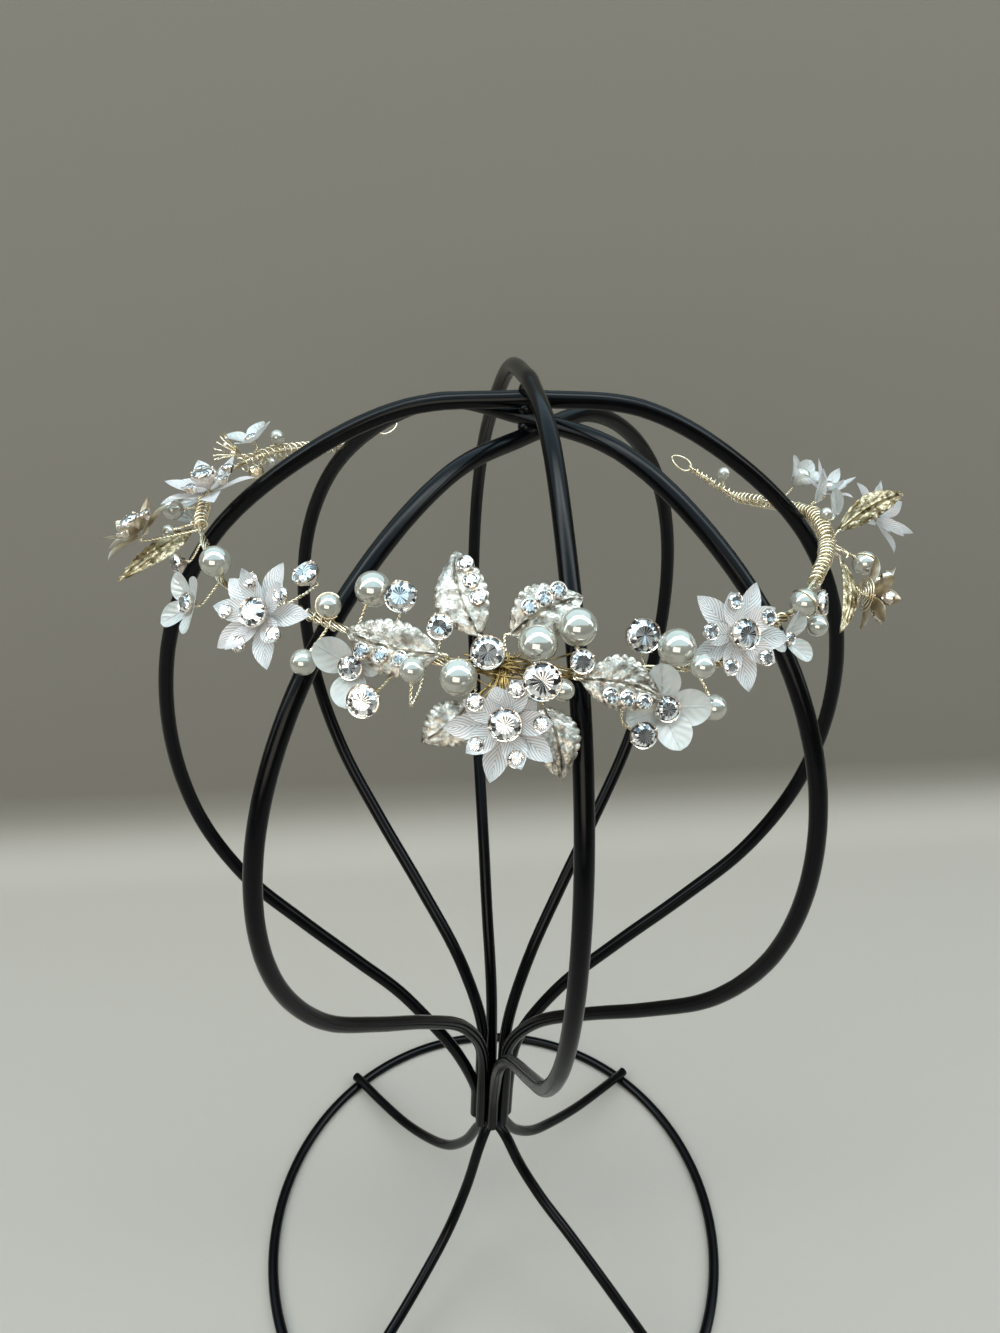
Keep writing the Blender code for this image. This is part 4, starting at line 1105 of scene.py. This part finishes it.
def build_stage():
    """Pale floor that rises into a taupe wall behind the stand."""
    fold, bend, height, half_width = 205, 40, 500, 2500
    profile = [(-1500, 0.0), (fold, 0.0)]
    for k in range(1, 17):
        a = math.pi / 2 * k / 16
        profile.append((fold + bend * math.sin(a), bend * (1 - math.cos(a))))
    profile.append((fold + bend, height))
    build = bmesh.new()
    rows = [[build.verts.new((x, y, z)) for x in (-half_width, half_width)] for y, z in profile]
    for low, high in zip(rows, rows[1:]):
        build.faces.new((low[0], low[1], high[1], high[0]))
    make_piece("floor_and_wall", build, backdrop_material(), sharp=80)


def area_light(name, place, aim, size, power, colour):
    """Soft rectangular light that faces a point."""
    data = bpy.data.lights.new(name, "AREA")
    data.shape, data.size, data.size_y = "RECTANGLE", size[0] * MM, size[1] * MM
    data.energy, data.color = power, colour
    obj = bpy.data.objects.new(name, data)
    bpy.context.scene.collection.objects.link(obj)
    obj.location = Vector(place) * MM
    obj.rotation_euler = (Vector(aim) - Vector(place)).to_track_quat("-Z", "Y").to_euler()


def build_lights():
    """Cool ceiling with bright panels that stripe the pearls, a warm front fill and a dim even room."""
    area_light("ceiling", (0, 500, 1500), (0, 500, 0), (4400, 4000), 82.0, (0.56, 0.84, 1.0))
    for k in range(4):
        area_light(f"ceiling_panel_{k}", (-930 + 620 * k, -100, 1150), (0, -40, 250), (300, 2000), 5.6,
                   (0.95, 1.0, 1.0))
    area_light("front_fill", (-350, -1150, 650), (0, 0, 250), (900, 600), 5.6, (1.0, 0.93, 0.82))
    world = bpy.data.worlds.new("even room")
    world.use_nodes = True
    tree = world.node_tree
    feed(tree, tree.nodes["Background"], {"Color": srgb("#C9C6B8"), "Strength": 0.26})
    bpy.context.scene.world = world


def build_camera():
    """Camera over the front of the stand, looking down at the vine."""
    pitch, yaw, roll = (math.radians(a) for a in (32.276, 5.309, 0.924))
    forward = Vector((math.sin(yaw) * math.cos(pitch), math.cos(yaw) * math.cos(pitch), -math.sin(pitch)))
    right = Vector((math.cos(yaw), -math.sin(yaw), 0))
    up = right.cross(forward)
    x = math.cos(roll) * right + math.sin(roll) * up
    y = -math.sin(roll) * right + math.cos(roll) * up
    data = bpy.data.cameras.new("camera")
    data.lens, data.sensor_width = 25.78, 36.0
    data.clip_start, data.clip_end = 0.01, 20.0
    obj = bpy.data.objects.new("camera", data)
    bpy.context.scene.collection.objects.link(obj)
    place = (Vector((-18.78, -209.8, 407.64)) + ORIGIN) * MM
    obj.matrix_world = Matrix.Translation(place) @ Matrix((x, y, -forward)).transposed().to_4x4()
    bpy.context.scene.camera = obj


foot_low, foot_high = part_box("foot")
ORIGIN = Vector(((foot_low.x + foot_high.x) / 2 / MM - RING_RIGHT, (foot_low.y + foot_high.y) / 2 / MM, 0))

black = enamel_material()
gold = plated_material("champagne gold craft wire", "#F6EDD8", "#C4B088", 0.2, 700.0)
# Dark aged gold: the knot's own colour, and the painted shade of the band's core
brown = plated_material("aged gold wire and painted core shade", "#B09662", "#564528", 0.3, 700.0)
silver = plated_material("pale rose silver plating", "#F4EBE2", "#BFAE9E", 0.14)
pearl, milk = pearl_material(), milk_material()
gilt = plated_material("pale gold plated petal", "#F6EEE0", "#BCAA8C", 0.3, 260.0)
pale = casting_material("pale champagne plated casting", "#F0EBE1", "#A0968A")
deep = casting_material("dark champagne plated casting", "#E6D9BA", "#8A7852")
crystals, cups = bmesh.new(), bmesh.new()
crystals.faces.layers.float.new("tone")
stems = []
build_stand(black)
build_pearls(stems, pearl, gold)
build_stones(stems, crystals, cups)
build_leaves(stems, pale, deep, crystals, cups)
build_flowers(stems, petal_material(), gilt, crystals, cups)
build_frosted(stems, milk, pearl, crystals, cups)
build_prong_flower(stems, gold)
build_loose_petals(stems, milk)
wear(make_piece("crystals", crystals, crystal_material(), smooth=False), "crystal", *STONES)
wear(make_piece("cups_and_claws", cups, silver, sharp=50), "gold_wire")
build_band(gold, brown)
build_stems(stems, gold)
build_wraps(gold)
build_end_eyes(gold)
build_knot(brown)
build_loops(gold)
build_stage()
build_lights()
build_camera()
bpy.context.scene.view_settings.view_transform = "Standard"
